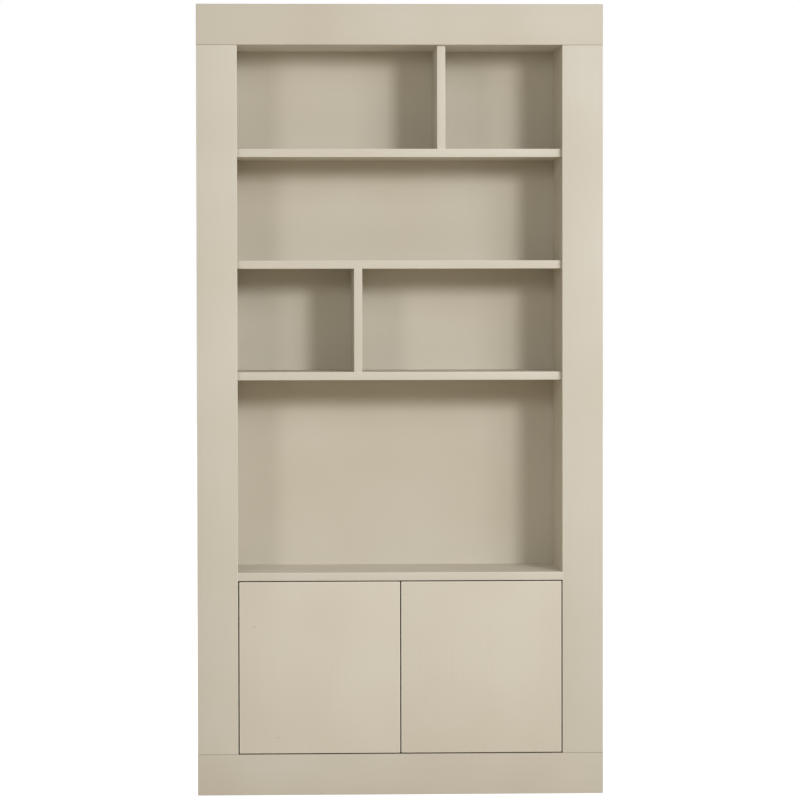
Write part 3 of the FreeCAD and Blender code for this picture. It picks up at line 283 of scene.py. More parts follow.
def pressed_metal(name, colour, dull, dullness, streak=(1, 1, 1)):
    """Plated steel or a zinc casting: fine marks of tool and drum, duller where handled."""
    material, tree = new_material(name)
    # marks of the tool are 0.2 mm wide; drawn at 1.2 mm so that they show; handling leaves wider clouds
    marks = pattern(tree, 1.2, streak, detail=3)
    clouds = pattern(tree, 9)
    clouded = add(tree, "ShaderNodeMapRange", {"Value": clouds, **FROM_NOISE})
    tone = add(tree, "ShaderNodeMix", {0: clouded.outputs["Result"], FIRST: linear(colour),
                                       SECOND: linear(dull)}, data_type="RGBA")
    rough = add(tree, "ShaderNodeMapRange", {"Value": clouds, **FROM_NOISE, "To Min": dullness - 0.06,
                                             "To Max": dullness + 0.1})
    raised = add(tree, "ShaderNodeBump", {"Height": marks, "Strength": 0.12, "Distance": 0.05 * MM})
    shader = add(tree, "ShaderNodeBsdfPrincipled",
                 {"Base Color": tone.outputs[BLEND], "Metallic": 1, "Roughness": rough.outputs["Result"],
                  "Normal": raised.outputs[0]})
    add(tree, "ShaderNodeOutputMaterial", {"Surface": shader.outputs[0]})
    return material


def moulded_plastic(name, colour, shade, dullness):
    """Injection-moulded ABS, acetal or polyethylene: an even tone with a fine eroded texture."""
    material, tree = new_material(name)
    # an eroded mould leaves grains of 0.1 mm; drawn at 0.6 mm so that they show
    texture = pattern(tree, 0.6)
    clouds = pattern(tree, 14, detail=1)
    faint_clouds = add(tree, "ShaderNodeMapRange", {"Value": clouds, **FROM_NOISE, "To Max": 0.6})
    tone = add(tree, "ShaderNodeMix", {0: faint_clouds.outputs["Result"], FIRST: linear(colour),
                                       SECOND: linear(shade)}, data_type="RGBA")
    rough = add(tree, "ShaderNodeMapRange", {"Value": texture, **FROM_NOISE, "To Min": dullness - 0.05,
                                             "To Max": dullness + 0.08})
    raised = add(tree, "ShaderNodeBump", {"Height": texture, "Strength": 0.15, "Distance": 0.05 * MM})
    shader = add(tree, "ShaderNodeBsdfPrincipled",
                 {"Base Color": tone.outputs[BLEND], "Roughness": rough.outputs["Result"], "IOR": 1.46,
                  "Normal": raised.outputs[0]})
    add(tree, "ShaderNodeOutputMaterial", {"Surface": shader.outputs[0]})
    return material


PAINT, PAINT_SHADE = "#D2CDC1", "#CDC7B9"
DOOR_PAINT, DOOR_SHADE = "#D4CEC0", "#D0C9B9"
upright_paint = painted_pine("satin_lacquered_pine_upright", PAINT, PAINT_SHADE)
level_paint = painted_pine("satin_lacquered_pine_level", PAINT, PAINT_SHADE, grain=ACROSS, dullness=0.5)
# painted light: the level lacquer painted paler, where the deck's top and the ceiling catch more light
level_paint_with_painted_light = painted_pine("satin_lacquer_painted_paler_for_light_on_level_faces", "#DCD7CC", "#D8D2C6", grain=ACROSS, dullness=0.42)
# painted shade: the frame's lacquer painted darker on the rails, which take less light than the stiles
rail_paint_with_painted_shade = painted_pine("satin_lacquered_pine_rail_painted_darker_for_shade", "#CCC6B9", "#C7BFB0", grain=ACROSS)
door_paint = painted_pine("satin_lacquered_door", DOOR_PAINT, DOOR_SHADE)
knotty_door_paint = painted_pine("satin_lacquered_door_with_knots", DOOR_PAINT, DOOR_SHADE,
                                 knots=DOOR_KNOTS)
inner_paint = painted_pine("matt_lacquered_side", "#D2CCBE", "#CDC6B7", dullness=0.66, sheen=0.12)
back_paint = painted_pine("matt_lacquered_back_board", "#D1CBBD", "#CDC6B6", dullness=0.66, sheen=0.12)
# painted highlight: the rounded edges painted paler, where they catch the light
edge_highlight_paint = painted_pine("satin_lacquer_with_painted_highlight_on_edges", "#E6E2D8", "#E0DBCE")
# the lacquer in a joint is painted darker: dust held there, and painted shade in the groove
joint_dust_and_shade_paint = painted_pine("satin_lacquer_with_dust_and_painted_shade_in_joint", "#B3AC9F", "#ABA394", grain=ACROSS)
raw_pine = bare_wood("planed_pine", "#D9BC8C", "#C39E68")
beech = bare_wood("turned_beech", "#D6B38A", "#BE9468", grain=ACROSS, size=2)
nickel = pressed_metal("nickel_plated_pressed_steel", "#C9C6BF", "#B8B4AB", 0.3)
zinc = pressed_metal("zinc_plated_steel", "#BFC3C6", "#A5A9AB", 0.38)
casting = pressed_metal("zinc_die_casting", "#A9A9A6", "#8F8F8C", 0.48)
strike_metal = pressed_metal("bright_rolled_steel", "#B9BABB", "#A3A4A5", 0.34, streak=(1, 1, 12))
cap_plastic = moulded_plastic("polyethylene_cap", "#CBC3B0", "#C3BAA6", 0.5)
latch_plastic = moulded_plastic("abs_latch_housing", "#E4E0D6", "#D8D3C6", 0.42)
plunger_plastic = moulded_plastic("acetal_plunger", "#8E8C88", "#7C7A76", 0.35)
glide_plastic = moulded_plastic("polyethylene_glide", "#3A3632", "#2E2B28", 0.55)

FINISHES = {
    "frame_paint": upright_paint,
    "door_paint": door_paint,
    "shelf_paint": level_paint,
    "carcass_paint": inner_paint,
    "back_paint": back_paint,
    "bare_pine": raw_pine,
    "beech_dowel": beech,
    "zinc_plated_steel": zinc,
    "nickel_plated_steel": nickel,
    "strike_steel": strike_metal,
    "zinc_die_casting": casting,
    "cap_plastic": cap_plastic,
    "latch_plastic": latch_plastic,
    "plunger_plastic": plunger_plastic,
    "glide_plastic": glide_plastic,
}
# panels of the carcass that lie level; the ceiling panel takes the paler level paint, painted light
LEVEL_FINISHES = {"cabinet_floor_panel": level_paint, "ceiling_panel": level_paint_with_painted_light}

for node_name, node in nodes.items():
    for slot in node.material_slots:
        kind = next(name for name in FINISHES if slot.material and slot.material.name.startswith(name))
        slot.material = LEVEL_FINISHES.get(node_name, FINISHES[kind])


# ---------------------------------------------------------------- shaping, as at a bench

X, Y, Z = range(3)
TURNS = {"X": (0, math.pi / 2, 0), "Y": (math.pi / 2, 0, 0), "Z": (0, 0, 0)}
# two corners or faces nearer than this, in metres, lie together
NEAR = 1e-5
# a face whose normal has a larger part along an axis looks along that axis
SQUARE_ON = 0.999
BAR_SIDES = 32
ROUND_SIDES = 48
# edges between faces that meet at less than this, in degrees, are shaded as one curve
FITTING_CREASE = 35
BOARD_CREASE = 60


def start_from_nothing():
    """Nothing selected, object mode."""
    if bpy.context.mode != "OBJECT":
        bpy.ops.object.mode_set(mode="OBJECT")
    bpy.ops.object.select_all(action="DESELECT")


def settle(piece, name):
    """The piece alone is selected, and its place, turn and scale go into its mesh."""
    start_from_nothing()
    piece.select_set(True)
    bpy.context.view_layer.objects.active = piece
    bpy.ops.object.transform_apply(location=True, rotation=True, scale=True)
    piece.name = name
    piece.data.name = name
    return piece


def block(name, low, high):
    """A cube primitive between two corners."""
    start_from_nothing()
    middle = [(a + b) / 2 for a, b in zip(low, high)]
    bpy.ops.mesh.primitive_cube_add(size=1, location=middle)
    cube = bpy.context.object
    cube.scale = [b - a for a, b in zip(low, high)]
    return settle(cube, name)


def bar(name, centre, radius, length, axis="Z", sides=BAR_SIDES):
    """A cylinder primitive along an axis, its middle at the centre."""
    start_from_nothing()
    bpy.ops.mesh.primitive_cylinder_add(vertices=sides, radius=radius, depth=length, location=centre,
                                        rotation=TURNS[axis])
    return settle(bpy.context.object, name)


def choose(piece, kind, wanted):
    """In edit mode, select the faces or edges that the test picks."""
    bpy.context.view_layer.objects.active = piece
    piece.select_set(True)
    if bpy.context.mode != "EDIT_MESH":
        bpy.ops.object.mode_set(mode="EDIT")
    bpy.ops.mesh.select_mode(type={"faces": "FACE", "edges": "EDGE"}[kind])
    bpy.ops.mesh.select_all(action="DESELECT")
    mesh = bmesh.from_edit_mesh(piece.data)
    for item in getattr(mesh, kind):
        if wanted(item):
            item.select_set(True)
    mesh.select_flush_mode()
    bmesh.update_edit_mesh(piece.data)


def leave(piece):
    """Back to object mode, with the piece no longer selected."""
    if bpy.context.mode != "OBJECT":
        bpy.ops.object.mode_set(mode="OBJECT")
    piece.select_set(False)


def all_edges(edge):
    return True


def edges_past(axis, limit, way=1):
    """Picks the edges that lie at or past a limit along an axis, or with way -1 at or before it."""
    return lambda edge: all(way * (vert.co[axis] - limit) > -NEAR for vert in edge.verts)


def edges_along(axis, least=NEAR):
    """Picks the edges that reach further than a least length along an axis."""
    return lambda edge: abs(edge.verts[0].co[axis] - edge.verts[1].co[axis]) > least


def round_off(piece, wanted, size, steps):
    """Bevel the edges that the test picks, in steps that follow a quarter circle."""
    choose(piece, "edges", wanted)
    bpy.ops.mesh.bevel(offset=size, segments=steps, profile=0.5, affect="EDGES")
    leave(piece)


def smooth(piece, crease=FITTING_CREASE):
    """Shades a piece as curved, apart from its edges that are sharper than the crease."""
    start_from_nothing()
    piece.select_set(True)
    bpy.context.view_layer.objects.active = piece
    bpy.ops.object.shade_smooth_by_angle(angle=math.radians(crease))
    piece.select_set(False)


def cut_with(piece, tools):
    """Cut tools out of a piece, and throw the tools away."""
    for tool in tools:
        start_from_nothing()
        piece.select_set(True)
        bpy.context.view_layer.objects.active = piece
        modifier = piece.modifiers.new("cut", "BOOLEAN")
        modifier.operation = "DIFFERENCE"
        modifier.solver = "EXACT"
        modifier.object = tool
        bpy.ops.object.modifier_apply(modifier=modifier.name)
        put_away(tool)


def put_away(piece):
    """Removes a tool or a fitting that was only there to cut or to be copied."""
    bpy.data.objects.remove(piece, do_unlink=True)


def joined(name, pieces):
    """Several meshes as one piece."""
    start_from_nothing()
    for piece in pieces:
        piece.select_set(True)
    bpy.context.view_layer.objects.active = pieces[0]
    bpy.ops.object.join()
    whole = bpy.context.object
    whole.name = name
    whole.data.name = name
    whole.select_set(False)
    return whole


def copied(piece, name, move, turn):
    """A copy with its own mesh, turned about the origin and then moved."""
    twin = piece.copy()
    twin.data = piece.data.copy()
    bpy.context.scene.collection.objects.link(twin)
    twin.data.transform(Matrix.Translation(move) @ turn)
    twin.name = name
    twin.data.name = name
    return twin


def dressed(piece, body, node_name, finish=None):
    """A finished piece takes its node's body and, where one is given, its only finish."""
    if finish:
        piece.data.materials.clear()
        piece.data.materials.append(finish)
    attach(piece, body)
    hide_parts(node_name)


def solids_in(node_name):
    """The lowest and highest corner of each separate solid of a node."""
    shape = bmesh.new()
    shape.from_mesh(nodes[node_name].data)
    bmesh.ops.remove_doubles(shape, verts=shape.verts, dist=NEAR)
    unseen = set(shape.verts)
    boxes = []
    while unseen:
        solid = [unseen.pop()]
        for vert in solid:
            for edge in vert.link_edges:
                other = edge.other_vert(vert)
                if other in unseen:
                    unseen.remove(other)
                    solid.append(other)
        boxes.append((Vector([min(vert.co[axis] for vert in solid) for axis in (X, Y, Z)]),
                      Vector([max(vert.co[axis] for vert in solid) for axis in (X, Y, Z)])))
    shape.free()
    return sorted(boxes, key=lambda box: tuple(round(part, 4) for part in box[0]))


def facing(direction):
    """The turn that takes +Z to a direction."""
    return Vector((0, 0, 1)).rotation_difference(Vector(direction)).to_matrix().to_4x4()


# ---------------------------------------------------------------- timber

FLAT, ROUNDED_EDGE = 0, 1
JOINER_EDGE = 1.3 * MM
EDGE_STEPS = 3
# a normal's upright part, above which a face of a rounded edge looks up or down
TILTED = 0.1


def eased_board(node_name, finish, wanted, ease=JOINER_EDGE, edge_finish=edge_highlight_paint):
    """A board the size of its node, its chosen edges rubbed round before painting."""
    board = block(f"painted_{node_name}", *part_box(node_name))
    round_off(board, wanted, ease, EDGE_STEPS)
    # the rounded faces take the edge finish, by default the painted highlight
    board.data.materials.append(finish)
    board.data.materials.append(edge_finish)
    for face in board.data.polygons:
        square = max(abs(part) for part in face.normal) > SQUARE_ON
        face.material_index = FLAT if square else ROUNDED_EDGE
    smooth(board, BOARD_CREASE)
    return board


def finish_apart(board, finish, wanted):
    """The faces that the test picks take another finish."""
    board.data.materials.append(finish)
    for face in board.data.polygons:
        if wanted(face):
            face.material_index = len(board.data.materials) - 1


def front_edges(node_name):
    """Picks the edges that lie in a board's front face."""
    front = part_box(node_name)[0].y
    return edges_past(Y, front, -1)


for rail in ("top_rail", "bottom_rail"):
    dressed(eased_board(rail, rail_paint_with_painted_shade, all_edges, edge_finish=rail_paint_with_painted_shade), "carcass", rail)
for stile in ("left_stile", "right_stile"):
    board = eased_board(stile, upright_paint, all_edges)
    # the rounded ends that meet the rails, painted darker: dust and painted shade in the joint
    finish_apart(board, joint_dust_and_shade_paint,
                 lambda face: face.material_index == ROUNDED_EDGE and abs(face.normal.z) > TILTED)
    dressed(board, "carcass", stile)
for shelf in ("upper_shelf", "middle_shelf", "lower_shelf"):
    dressed(eased_board(shelf, level_paint, front_edges(shelf)), "carcass", shelf)
deck = eased_board("cabinet_deck", level_paint, front_edges("cabinet_deck"))
# the deck's top takes the paler paint: painted light on the level face
finish_apart(deck, level_paint_with_painted_light, lambda face: face.normal.z > SQUARE_ON)
dressed(deck, "carcass", "cabinet_deck")
for divider in ("upper_divider", "lower_divider"):
    dressed(eased_board(divider, upright_paint, front_edges(divider)), "carcass", divider)
for side in ("left_outer_side_panel", "right_outer_side_panel"):
    dressed(eased_board(side, upright_paint, all_edges), "carcass", side)
dressed(eased_board("top_board", level_paint, all_edges), "carcass", "top_board")


# ---------------------------------------------------------------- doors

DOOR_EDGE = 2 * MM
CUP_RADIUS = 17.5 * MM
CUP_DEPTH = 14.4 * MM
CUP_BESIDE_PIVOT = 4.5 * MM
PIVOT_BELOW_BACK = 10 * MM
# which way is inwards from a door's hinges along X, and their turn: the left hinges stand as modelled,
# the right ones are turned over about the depth axis
TURNED_OVER = Matrix.Rotation(math.pi, 4, "Y")
HANDS = {"left": (1, Matrix()), "right": (-1, TURNED_OVER)}
DOOR_FINISHES = {"left": knotty_door_paint, "right": door_paint}


def pivots(hand):
    """The middle of each hinge pin of a door."""
    return [(low + high) / 2 for low, high in solids_in(f"{hand}_hinge_pins")]


def inside_a_bore(face, cups, front):
    """Whether a face of the door lies in one of its cup bores."""
    middle = face.center
    near = any(math.hypot(middle.x - cup.x, middle.z - cup.z) < CUP_RADIUS + NEAR for cup in cups)
    return near and middle.y > front + NEAR


for hand, (way, _) in HANDS.items():
    node_name = f"{hand}_door"
    low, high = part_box(node_name)
    door = eased_board(node_name, DOOR_FINISHES[hand], all_edges, DOOR_EDGE)
    cups = [Vector((pivot.x - way * CUP_BESIDE_PIVOT, high.y, pivot.z)) for pivot in pivots(hand)]
    cut_with(door, [bar("cup_bore", cup, CUP_RADIUS, 2 * CUP_DEPTH, "Y", ROUND_SIDES) for cup in cups])
    finish_apart(door, raw_pine, lambda face: inside_a_bore(face, cups, low.y))
    smooth(door, BOARD_CREASE)
    dressed(door, f"{hand}_door_leaf", node_name)


# ---------------------------------------------------------------- screws, caps and feet

HEAD_SIDES = 24
HEAD_STEPS = 3
SHANK_SIDES = 12


def cross_headed_screw(name, head_radius, head_height, shank_radius, length):
    """A screw that stands on its point: head above the origin, shank below it."""
    head = bar(name, (0, 0, head_height / 2), head_radius, head_height, sides=HEAD_SIDES)
    round_off(head, edges_past(Z, head_height), 0.7 * head_height, HEAD_STEPS)
    width = 0.24 * head_radius
    reach = 0.62 * head_radius
    bottom = 0.35 * head_height
    above = 2 * head_height
    cut_with(head, [block("slot", (-reach, -width, bottom), (reach, width, above)),
                    block("slot", (-width, -reach, bottom), (width, reach, above))])
    shank = bar("shank", (0, 0, -length / 2), shank_radius, length, sides=SHANK_SIDES)
    round_off(shank, edges_past(Z, -length, -1), 0.8 * shank_radius, steps=1)
    screw = joined(name, [head, shank])
    smooth(screw)
    return screw


def round_button(name, radius, height, ease, dish):
    """A disc with a rounded upper rim and a shallow dish in its middle, standing on the origin."""
    disc = bar(name, (0, 0, height / 2), radius, height, sides=ROUND_SIDES)
    round_off(disc, edges_past(Z, height), ease, HEAD_STEPS)
    choose(disc, "faces", lambda face: face.normal.z > SQUARE_ON)
    bpy.ops.mesh.inset(thickness=0.35 * radius, depth=0)
    bpy.ops.mesh.inset(thickness=0.12 * radius, depth=-dish)
    leave(disc)
    smooth(disc)
    return disc


def put_on_each(template, node_name, body, head_way, rise, finish):
    """A copy of a fitting in the place of each solid of a node. The fitting's head looks along
    head_way, and its seat is a rise below the solid's outer end."""
    axis = next(index for index, part in enumerate(head_way) if part)
    head_way = Vector(head_way)
    for number, (low, high) in enumerate(solids_in(node_name), start=1):
        seat = (low + high) / 2
        seat[axis] = (high if head_way[axis] > 0 else low)[axis]
        seat -= rise * head_way
        copy = copied(template, f"{node_name}_{number}", seat, facing(head_way))
        dressed(copy, body, node_name, finish)


FLAT_HEAD = 1.4 * MM
FLAT_HEAD_RADIUS = 3.7 * MM
WOOD_SHANK_RADIUS = 1.85 * MM
BACK_SCREW_HEAD = 1.6 * MM
ARM_SCREW_HEAD = 2.2 * MM

back_screw = cross_headed_screw("back_screw", head_radius=3.6 * MM, head_height=BACK_SCREW_HEAD,
                                shank_radius=1.7 * MM, length=18 * MM)
put_on_each(back_screw, "back_panel_screws", "carcass", (0, 1, 0), BACK_SCREW_HEAD, zinc)
put_away(back_screw)

cup_screw = cross_headed_screw("cup_screw", FLAT_HEAD_RADIUS, FLAT_HEAD, WOOD_SHANK_RADIUS, length=11 * MM)
plate_screw = cross_headed_screw("plate_screw", FLAT_HEAD_RADIUS, FLAT_HEAD, WOOD_SHANK_RADIUS,
                                 length=13.4 * MM)
arm_screw = cross_headed_screw("arm_screw", head_radius=4.5 * MM, head_height=ARM_SCREW_HEAD,
                               shank_radius=2.95 * MM, length=6.2 * MM)
for hand, (way, _) in HANDS.items():
    put_on_each(cup_screw, f"{hand}_cup_screws", f"{hand}_door_leaf", (0, 1, 0), FLAT_HEAD, nickel)
    put_on_each(plate_screw, f"{hand}_plate_screws", "carcass", (way, 0, 0), FLAT_HEAD, nickel)
    put_on_each(arm_screw, f"{hand}_arm_screws", "carcass", (way, 0, 0), ARM_SCREW_HEAD, nickel)
for template in (cup_screw, plate_screw, arm_screw):
    put_away(template)

latch_screw = cross_headed_screw("latch_screw", FLAT_HEAD_RADIUS, FLAT_HEAD, WOOD_SHANK_RADIUS,
                                 length=14 * MM)
put_on_each(latch_screw, "latch_screws", "carcass", (0, 0, -1), FLAT_HEAD, zinc)
put_away(latch_screw)

CAP_HEIGHT = 1.2 * MM
cap = round_button("cam_cap", radius=8.5 * MM, height=CAP_HEIGHT, ease=0.7 * MM, dish=0.2 * MM)
put_on_each(cap, "cam_caps", "carcass", (0, 0, -1), CAP_HEIGHT, cap_plastic)
put_away(cap)

FOOT_HEIGHT = 3 * MM
foot = round_button("foot", radius=15 * MM, height=FOOT_HEIGHT, ease=1.2 * MM, dish=0.5 * MM)
put_on_each(foot, "glides", "carcass", (0, 0, -1), FOOT_HEIGHT, glide_plastic)
put_away(foot)


# ---------------------------------------------------------------- cup hinges
# a hinge is modelled with its pivot at the origin: X across the bookcase, Y into its depth

STRIP = 2.4 * MM
ARM_WIDTH = 11 * MM
# corners of the arm's middle line in millimetres, from the pivot out of the cup, round the door's edge
# and back
ARM_PATH = [(0, 0), (9, 0), (9, 13.5), (15, 13.5), (15, 33.4), (-24, 33.4), (-24, 96)]
OUTER_BEND = 2.6 * MM
INNER_BEND = 0.6 * MM
BEND_STEPS = 4
ARM_END_ROUND = 3 * MM
EYE_RADIUS = 3.2 * MM
PIN_RADIUS = 1.5 * MM
TURNING_PLAY = 0.08 * MM

CUP_PLAY = 0.1 * MM
CUP_WALL = 1 * MM
CUP_FLOOR = 0.8 * MM
CUP_CORNER = 2 * MM
FLANGE = 1.2 * MM
FLANGE_LIP = 1.1 * MM
FLANGE_EASE = 0.4 * MM
EARS_BESIDE_CUP = 5.5 * MM
EAR_HALF_WIDTH = 6 * MM
EAR_REACH = 32 * MM
EAR_ROUND = 5.9 * MM
BOSS_PLAY = 0.3 * MM
BOSS_LENGTH = 4 * MM
BOSS_RADIUS = 3.2 * MM
BOSS_FOOT = 4 * MM
BOSS_ROUND = 2.8 * MM
PIN_FIT = 0.02 * MM

# the mounting plate lies on the side panel; its starts and ends are depths behind the pivot
PANEL_BESIDE_PIVOT = 30 * MM
SEAT_START = 38 * MM
SEAT_END = 94 * MM
SEAT_HALF_HEIGHT = 7 * MM
SEAT_THICKNESS = 4.8 * MM
SEAT_EASE = 1 * MM
WING_START = 39.5 * MM
WING_END = 54.5 * MM
WING_REACH = 24 * MM
WING_THICKNESS = 2.4 * MM
WING_ROUND = 6 * MM
WING_EASE = 0.5 * MM


def extruded(piece, from_face, way, length):
    """Draws the face that the test picks out of a piece, along a direction."""
    choose(piece, "faces", from_face)
    bpy.ops.mesh.extrude_region_move(TRANSFORM_OT_translate={"value": length * way})


def face_at(point, direction):
    """Picks the face at a point that looks along a direction."""
    return lambda face: ((face.calc_center_median() - point).length < NEAR
                         and face.normal.dot(direction) > SQUARE_ON)


def edge_at(corners):
    """Picks the edges that cross the strip's whole width at one of these corners."""
    across = edges_along(Z, ARM_WIDTH - NEAR)

    def wanted(edge):
        feet = [Vector((vert.co.x, vert.co.y, 0)) for vert in edge.verts]
        at_a_corner = all(any((foot - corner).length < NEAR for corner in corners) for foot in feet)
        return across(edge) and at_a_corner
    return wanted


def bent_strip(name):
    """A strip drawn out along the arm's path, leg by leg, then rounded at each bend."""
    path = [Vector((across * MM, along * MM, 0)) for across, along in ARM_PATH]
    half = STRIP / 2
    ways = [(end - start).normalized() for start, end in zip(path, path[1:])]
    first = path[1] - half * ways[0]
    strip = block(name, (0, -half, -ARM_WIDTH / 2), (first.x, half, ARM_WIDTH / 2))
    turns = list(zip(path[1:], ways, ways[1:]))
    for (corner, way, turned), following in zip(turns, path[2:]):
        extruded(strip, face_at(corner - half * way, way), way, STRIP)
        last = following == path[-1]
        reach = (following - corner).length - (half if last else STRIP)
        extruded(strip, face_at(corner + half * turned, turned), turned, reach)
    for size, side in ((OUTER_BEND, 1), (INNER_BEND, -1)):
        bends = [corner + side * half * (way - turned) for corner, way, turned in turns]
        round_off(strip, edge_at(bends), size, BEND_STEPS)
    at_end = edges_past(Y, path[-1].y)
    through = edges_along(X, STRIP - NEAR)
    round_off(strip, lambda edge: at_end(edge) and through(edge), ARM_END_ROUND, BEND_STEPS)
    return strip


def hinge_arm():
    """The bent strip, with a round eye for the pin at its start."""
    strip = bent_strip("hinge_arm")
    eye = bar("eye", (0, 0, 0), EYE_RADIUS, ARM_WIDTH)
    for piece in (strip, eye):
        cut_with(piece, [bar("pin_bore", (0, 0, 0), PIN_RADIUS + TURNING_PLAY, 2 * ARM_WIDTH)])
    arm = joined("hinge_arm", [strip, eye])
    smooth(arm)
    return arm


def pin_boss(side):
    """A block inside the cup, beside the arm, that holds one end of the pin."""
    near = ARM_WIDTH / 2 + BOSS_PLAY
    start, end = sorted((side * near, side * (near + BOSS_LENGTH)))
    boss = block("boss", (-BOSS_RADIUS, -BOSS_FOOT, start), (BOSS_RADIUS, BOSS_RADIUS, end))
    outer = edges_past(Y, BOSS_RADIUS)
    along_the_pin = edges_along(Z)
    round_off(boss, lambda edge: outer(edge) and along_the_pin(edge), BOSS_ROUND, steps=6)
    cut_with(boss, [bar("pin_bore", (0, 0, side * near), PIN_RADIUS + PIN_FIT, 5 * BOSS_LENGTH)])
    return boss


def hinge_cup():
    """A drawn cup with its flange and screw ears, its mouth at the door's back."""
    radius = CUP_RADIUS - CUP_PLAY
    across = -CUP_BESIDE_PIVOT
    back = PIVOT_BELOW_BACK
    cup = bar("hinge_cup", (across, back - CUP_DEPTH / 2, 0), radius, CUP_DEPTH, "Y", ROUND_SIDES)
    choose(cup, "faces", lambda face: face.normal.y > SQUARE_ON)
    bpy.ops.mesh.inset(thickness=CUP_WALL, depth=0)
    bpy.ops.mesh.extrude_region_move(TRANSFORM_OT_translate={"value": (0, CUP_FLOOR - CUP_DEPTH, 0)})
    round_off(cup, edges_past(Y, back - CUP_DEPTH, -1), CUP_CORNER, steps=4)
    flange = bar("flange", (across, back + FLANGE / 2, 0), radius + FLANGE_LIP, FLANGE, "Y", ROUND_SIDES)
    middle = across + EARS_BESIDE_CUP
    ears = block("ears", (middle - EAR_HALF_WIDTH, back, -EAR_REACH),
                 (middle + EAR_HALF_WIDTH, back + FLANGE, EAR_REACH))
    round_off(ears, edges_along(Y), EAR_ROUND, steps=8)
    for plate in (flange, ears):
        round_off(plate, edges_past(Y, back + FLANGE), FLANGE_EASE, steps=2)
        cut_with(plate, [bar("mouth", (across, back, 0), radius - CUP_WALL, 4 * FLANGE, "Y", ROUND_SIDES)])
    whole = joined("hinge_cup", [cup, flange, ears, pin_boss(-1), pin_boss(1)])
    smooth(whole)
    return whole


def mounting_plate():
    """A cross-shaped casting on the side panel: a raised seat for the arm and two screw wings."""
    panel = -PANEL_BESIDE_PIVOT
    seat = block("mounting_plate", (panel, SEAT_START, -SEAT_HALF_HEIGHT),
                 (panel + SEAT_THICKNESS, SEAT_END, SEAT_HALF_HEIGHT))
    outer = edges_past(X, panel + SEAT_THICKNESS)
    standing = edges_along(X)
    round_off(seat, lambda edge: outer(edge) or standing(edge), SEAT_EASE, steps=3)
    wings = block("wings", (panel, WING_START, -WING_REACH), (panel + WING_THICKNESS, WING_END, WING_REACH))
    round_off(wings, edges_along(X), WING_ROUND, steps=6)
    round_off(wings, edges_past(X, panel + WING_THICKNESS), WING_EASE, steps=2)
    plate = joined("mounting_plate", [seat, wings])
    smooth(plate)
    return plate


def at_pivots(template, kind, hand, body, finish):
    """A copy of a part of the hinge at each pivot of a door."""
    _, turn = HANDS[hand]
    for number, pivot in enumerate(pivots(hand), start=1):
        copy = copied(template, f"{hand}_{kind}_{number}", pivot, turn)
        dressed(copy, body, f"{hand}_{kind}s", finish)


arm, cup, plate = hinge_arm(), hinge_cup(), mounting_plate()
for hand in HANDS:
    at_pivots(arm, "hinge_arm", hand, "carcass", nickel)
    at_pivots(cup, "hinge_cup", hand, f"{hand}_door_leaf", nickel)
    at_pivots(plate, "mounting_plate", hand, "carcass", casting)
for template in (arm, cup, plate):
    put_away(template)


# ---------------------------------------------------------------- push latches

ROD_RADIUS = 4 * MM
ROD_TIP_EASE = 0.8 * MM
SLIDING_PLAY = 0.08 * MM
PISTON_RADIUS = 5.6 * MM
PISTON_LENGTH = 20 * MM
PISTON_EASE = 0.5 * MM
CASE_HALF_WIDTH = 10 * MM
CASE_EASE = 1.8 * MM
AXIS_BELOW_DECK = 12 * MM
CHAMBER_LENGTH = 52 * MM
CHAMBER_PLAY = 0.6 * MM
MOUTH_LENGTH = 8 * MM
TAB_HALF_LENGTH = 12 * MM
TAB_THICKNESS = 3 * MM
TAB_ROUND = 4 * MM
TAB_EASE = 0.6 * MM


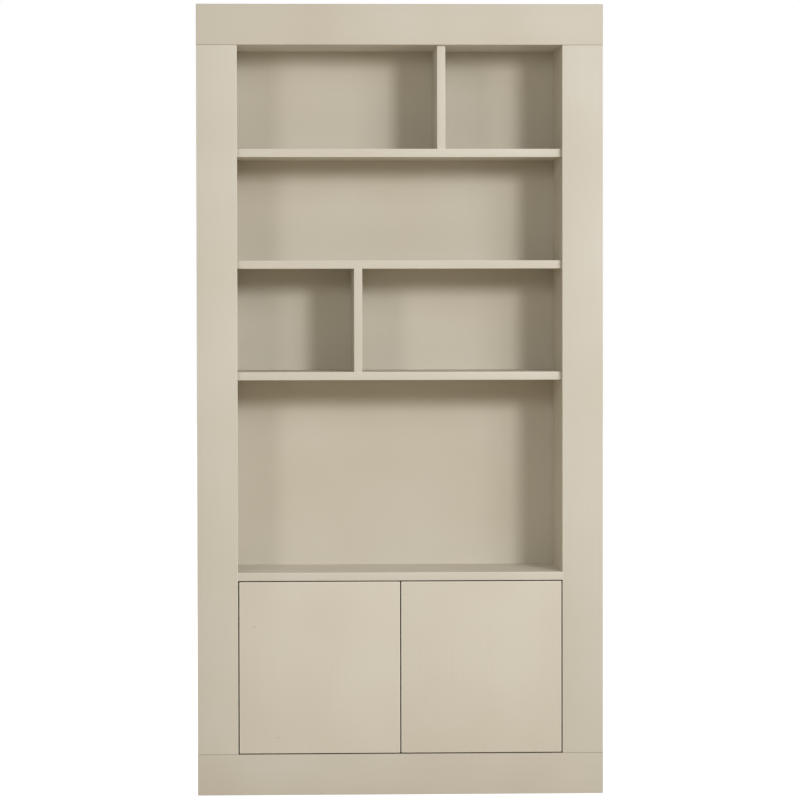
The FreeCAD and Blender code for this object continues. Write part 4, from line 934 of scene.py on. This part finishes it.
def latch_housing(node_name):
    """A moulded case with two screw tabs under the deck, open where the plunger comes out."""
    low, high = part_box(node_name)
    middle = (low + high) / 2
    axis = high.z - AXIS_BELOW_DECK
    name = f"moulded_{node_name}"
    case = block(name, (middle.x - CASE_HALF_WIDTH, low.y, low.z),
                 (middle.x + CASE_HALF_WIDTH, high.y, high.z))
    under_the_deck = edges_past(Z, high.z)
    round_off(case, lambda edge: not under_the_deck(edge), CASE_EASE, steps=3)
    chamber = bar("chamber", (middle.x, middle.y, axis), PISTON_RADIUS + CHAMBER_PLAY, CHAMBER_LENGTH, "Y")
    mouth = bar("mouth", (middle.x, low.y, axis), ROD_RADIUS + SLIDING_PLAY, MOUTH_LENGTH, "Y")
    cut_with(case, [chamber, mouth])
    tabs = block("tabs", (low.x, middle.y - TAB_HALF_LENGTH, high.z - TAB_THICKNESS),
                 (high.x, middle.y + TAB_HALF_LENGTH, high.z))
    round_off(tabs, edges_along(Z), TAB_ROUND, steps=5)
    round_off(tabs, edges_past(Z, high.z - TAB_THICKNESS, -1), TAB_EASE, steps=2)
    housing = joined(name, [case, tabs])
    smooth(housing)
    return housing


def latch_plunger(node_name):
    """A round rod with a softened tip, and the piston behind it."""
    low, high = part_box(node_name)
    middle = (low + high) / 2
    piston_start = high.y - PISTON_LENGTH
    name = f"turned_{node_name}"
    rod = bar(name, (middle.x, (low.y + piston_start) / 2, middle.z), ROD_RADIUS, piston_start - low.y, "Y")
    round_off(rod, edges_past(Y, low.y, -1), ROD_TIP_EASE, steps=3)
    piston = bar("piston", (middle.x, (piston_start + high.y) / 2, middle.z), PISTON_RADIUS,
                 high.y - piston_start, "Y")
    lengthwise = edges_along(Y)
    round_off(piston, lambda edge: not lengthwise(edge), PISTON_EASE, steps=2)
    plunger = joined(name, [rod, piston])
    smooth(plunger)
    return plunger


STRIKE_THICKNESS = 1.2 * MM
SUNK_HEAD_RADIUS = 3 * MM
SUNK_HEAD_PLAY = 0.05 * MM

strike = round_button("strike", radius=7 * MM, height=STRIKE_THICKNESS, ease=0.4 * MM, dish=0.1 * MM)
cut_with(strike, [bar("screw_seat", (0, 0, STRIKE_THICKNESS), SUNK_HEAD_RADIUS, 4 * STRIKE_THICKNESS)])
smooth(strike)
strike_screw = cross_headed_screw("strike_screw", SUNK_HEAD_RADIUS - SUNK_HEAD_PLAY, 0.9 * STRIKE_THICKNESS,
                                  WOOD_SHANK_RADIUS, length=11 * MM)
for hand in HANDS:
    housing, plunger = f"{hand}_latch_housing", f"{hand}_latch_plunger"
    leaf = f"{hand}_door_leaf"
    dressed(latch_housing(housing), "carcass", housing, latch_plastic)
    dressed(latch_plunger(plunger), f"{hand}_plunger", plunger, plunger_plastic)
    put_on_each(strike, f"{hand}_strike_plate", leaf, (0, 1, 0), STRIKE_THICKNESS, strike_metal)
    put_on_each(strike_screw, f"{hand}_strike_screw", leaf, (0, 1, 0), STRIKE_THICKNESS, zinc)
for template in (strike, strike_screw):
    put_away(template)
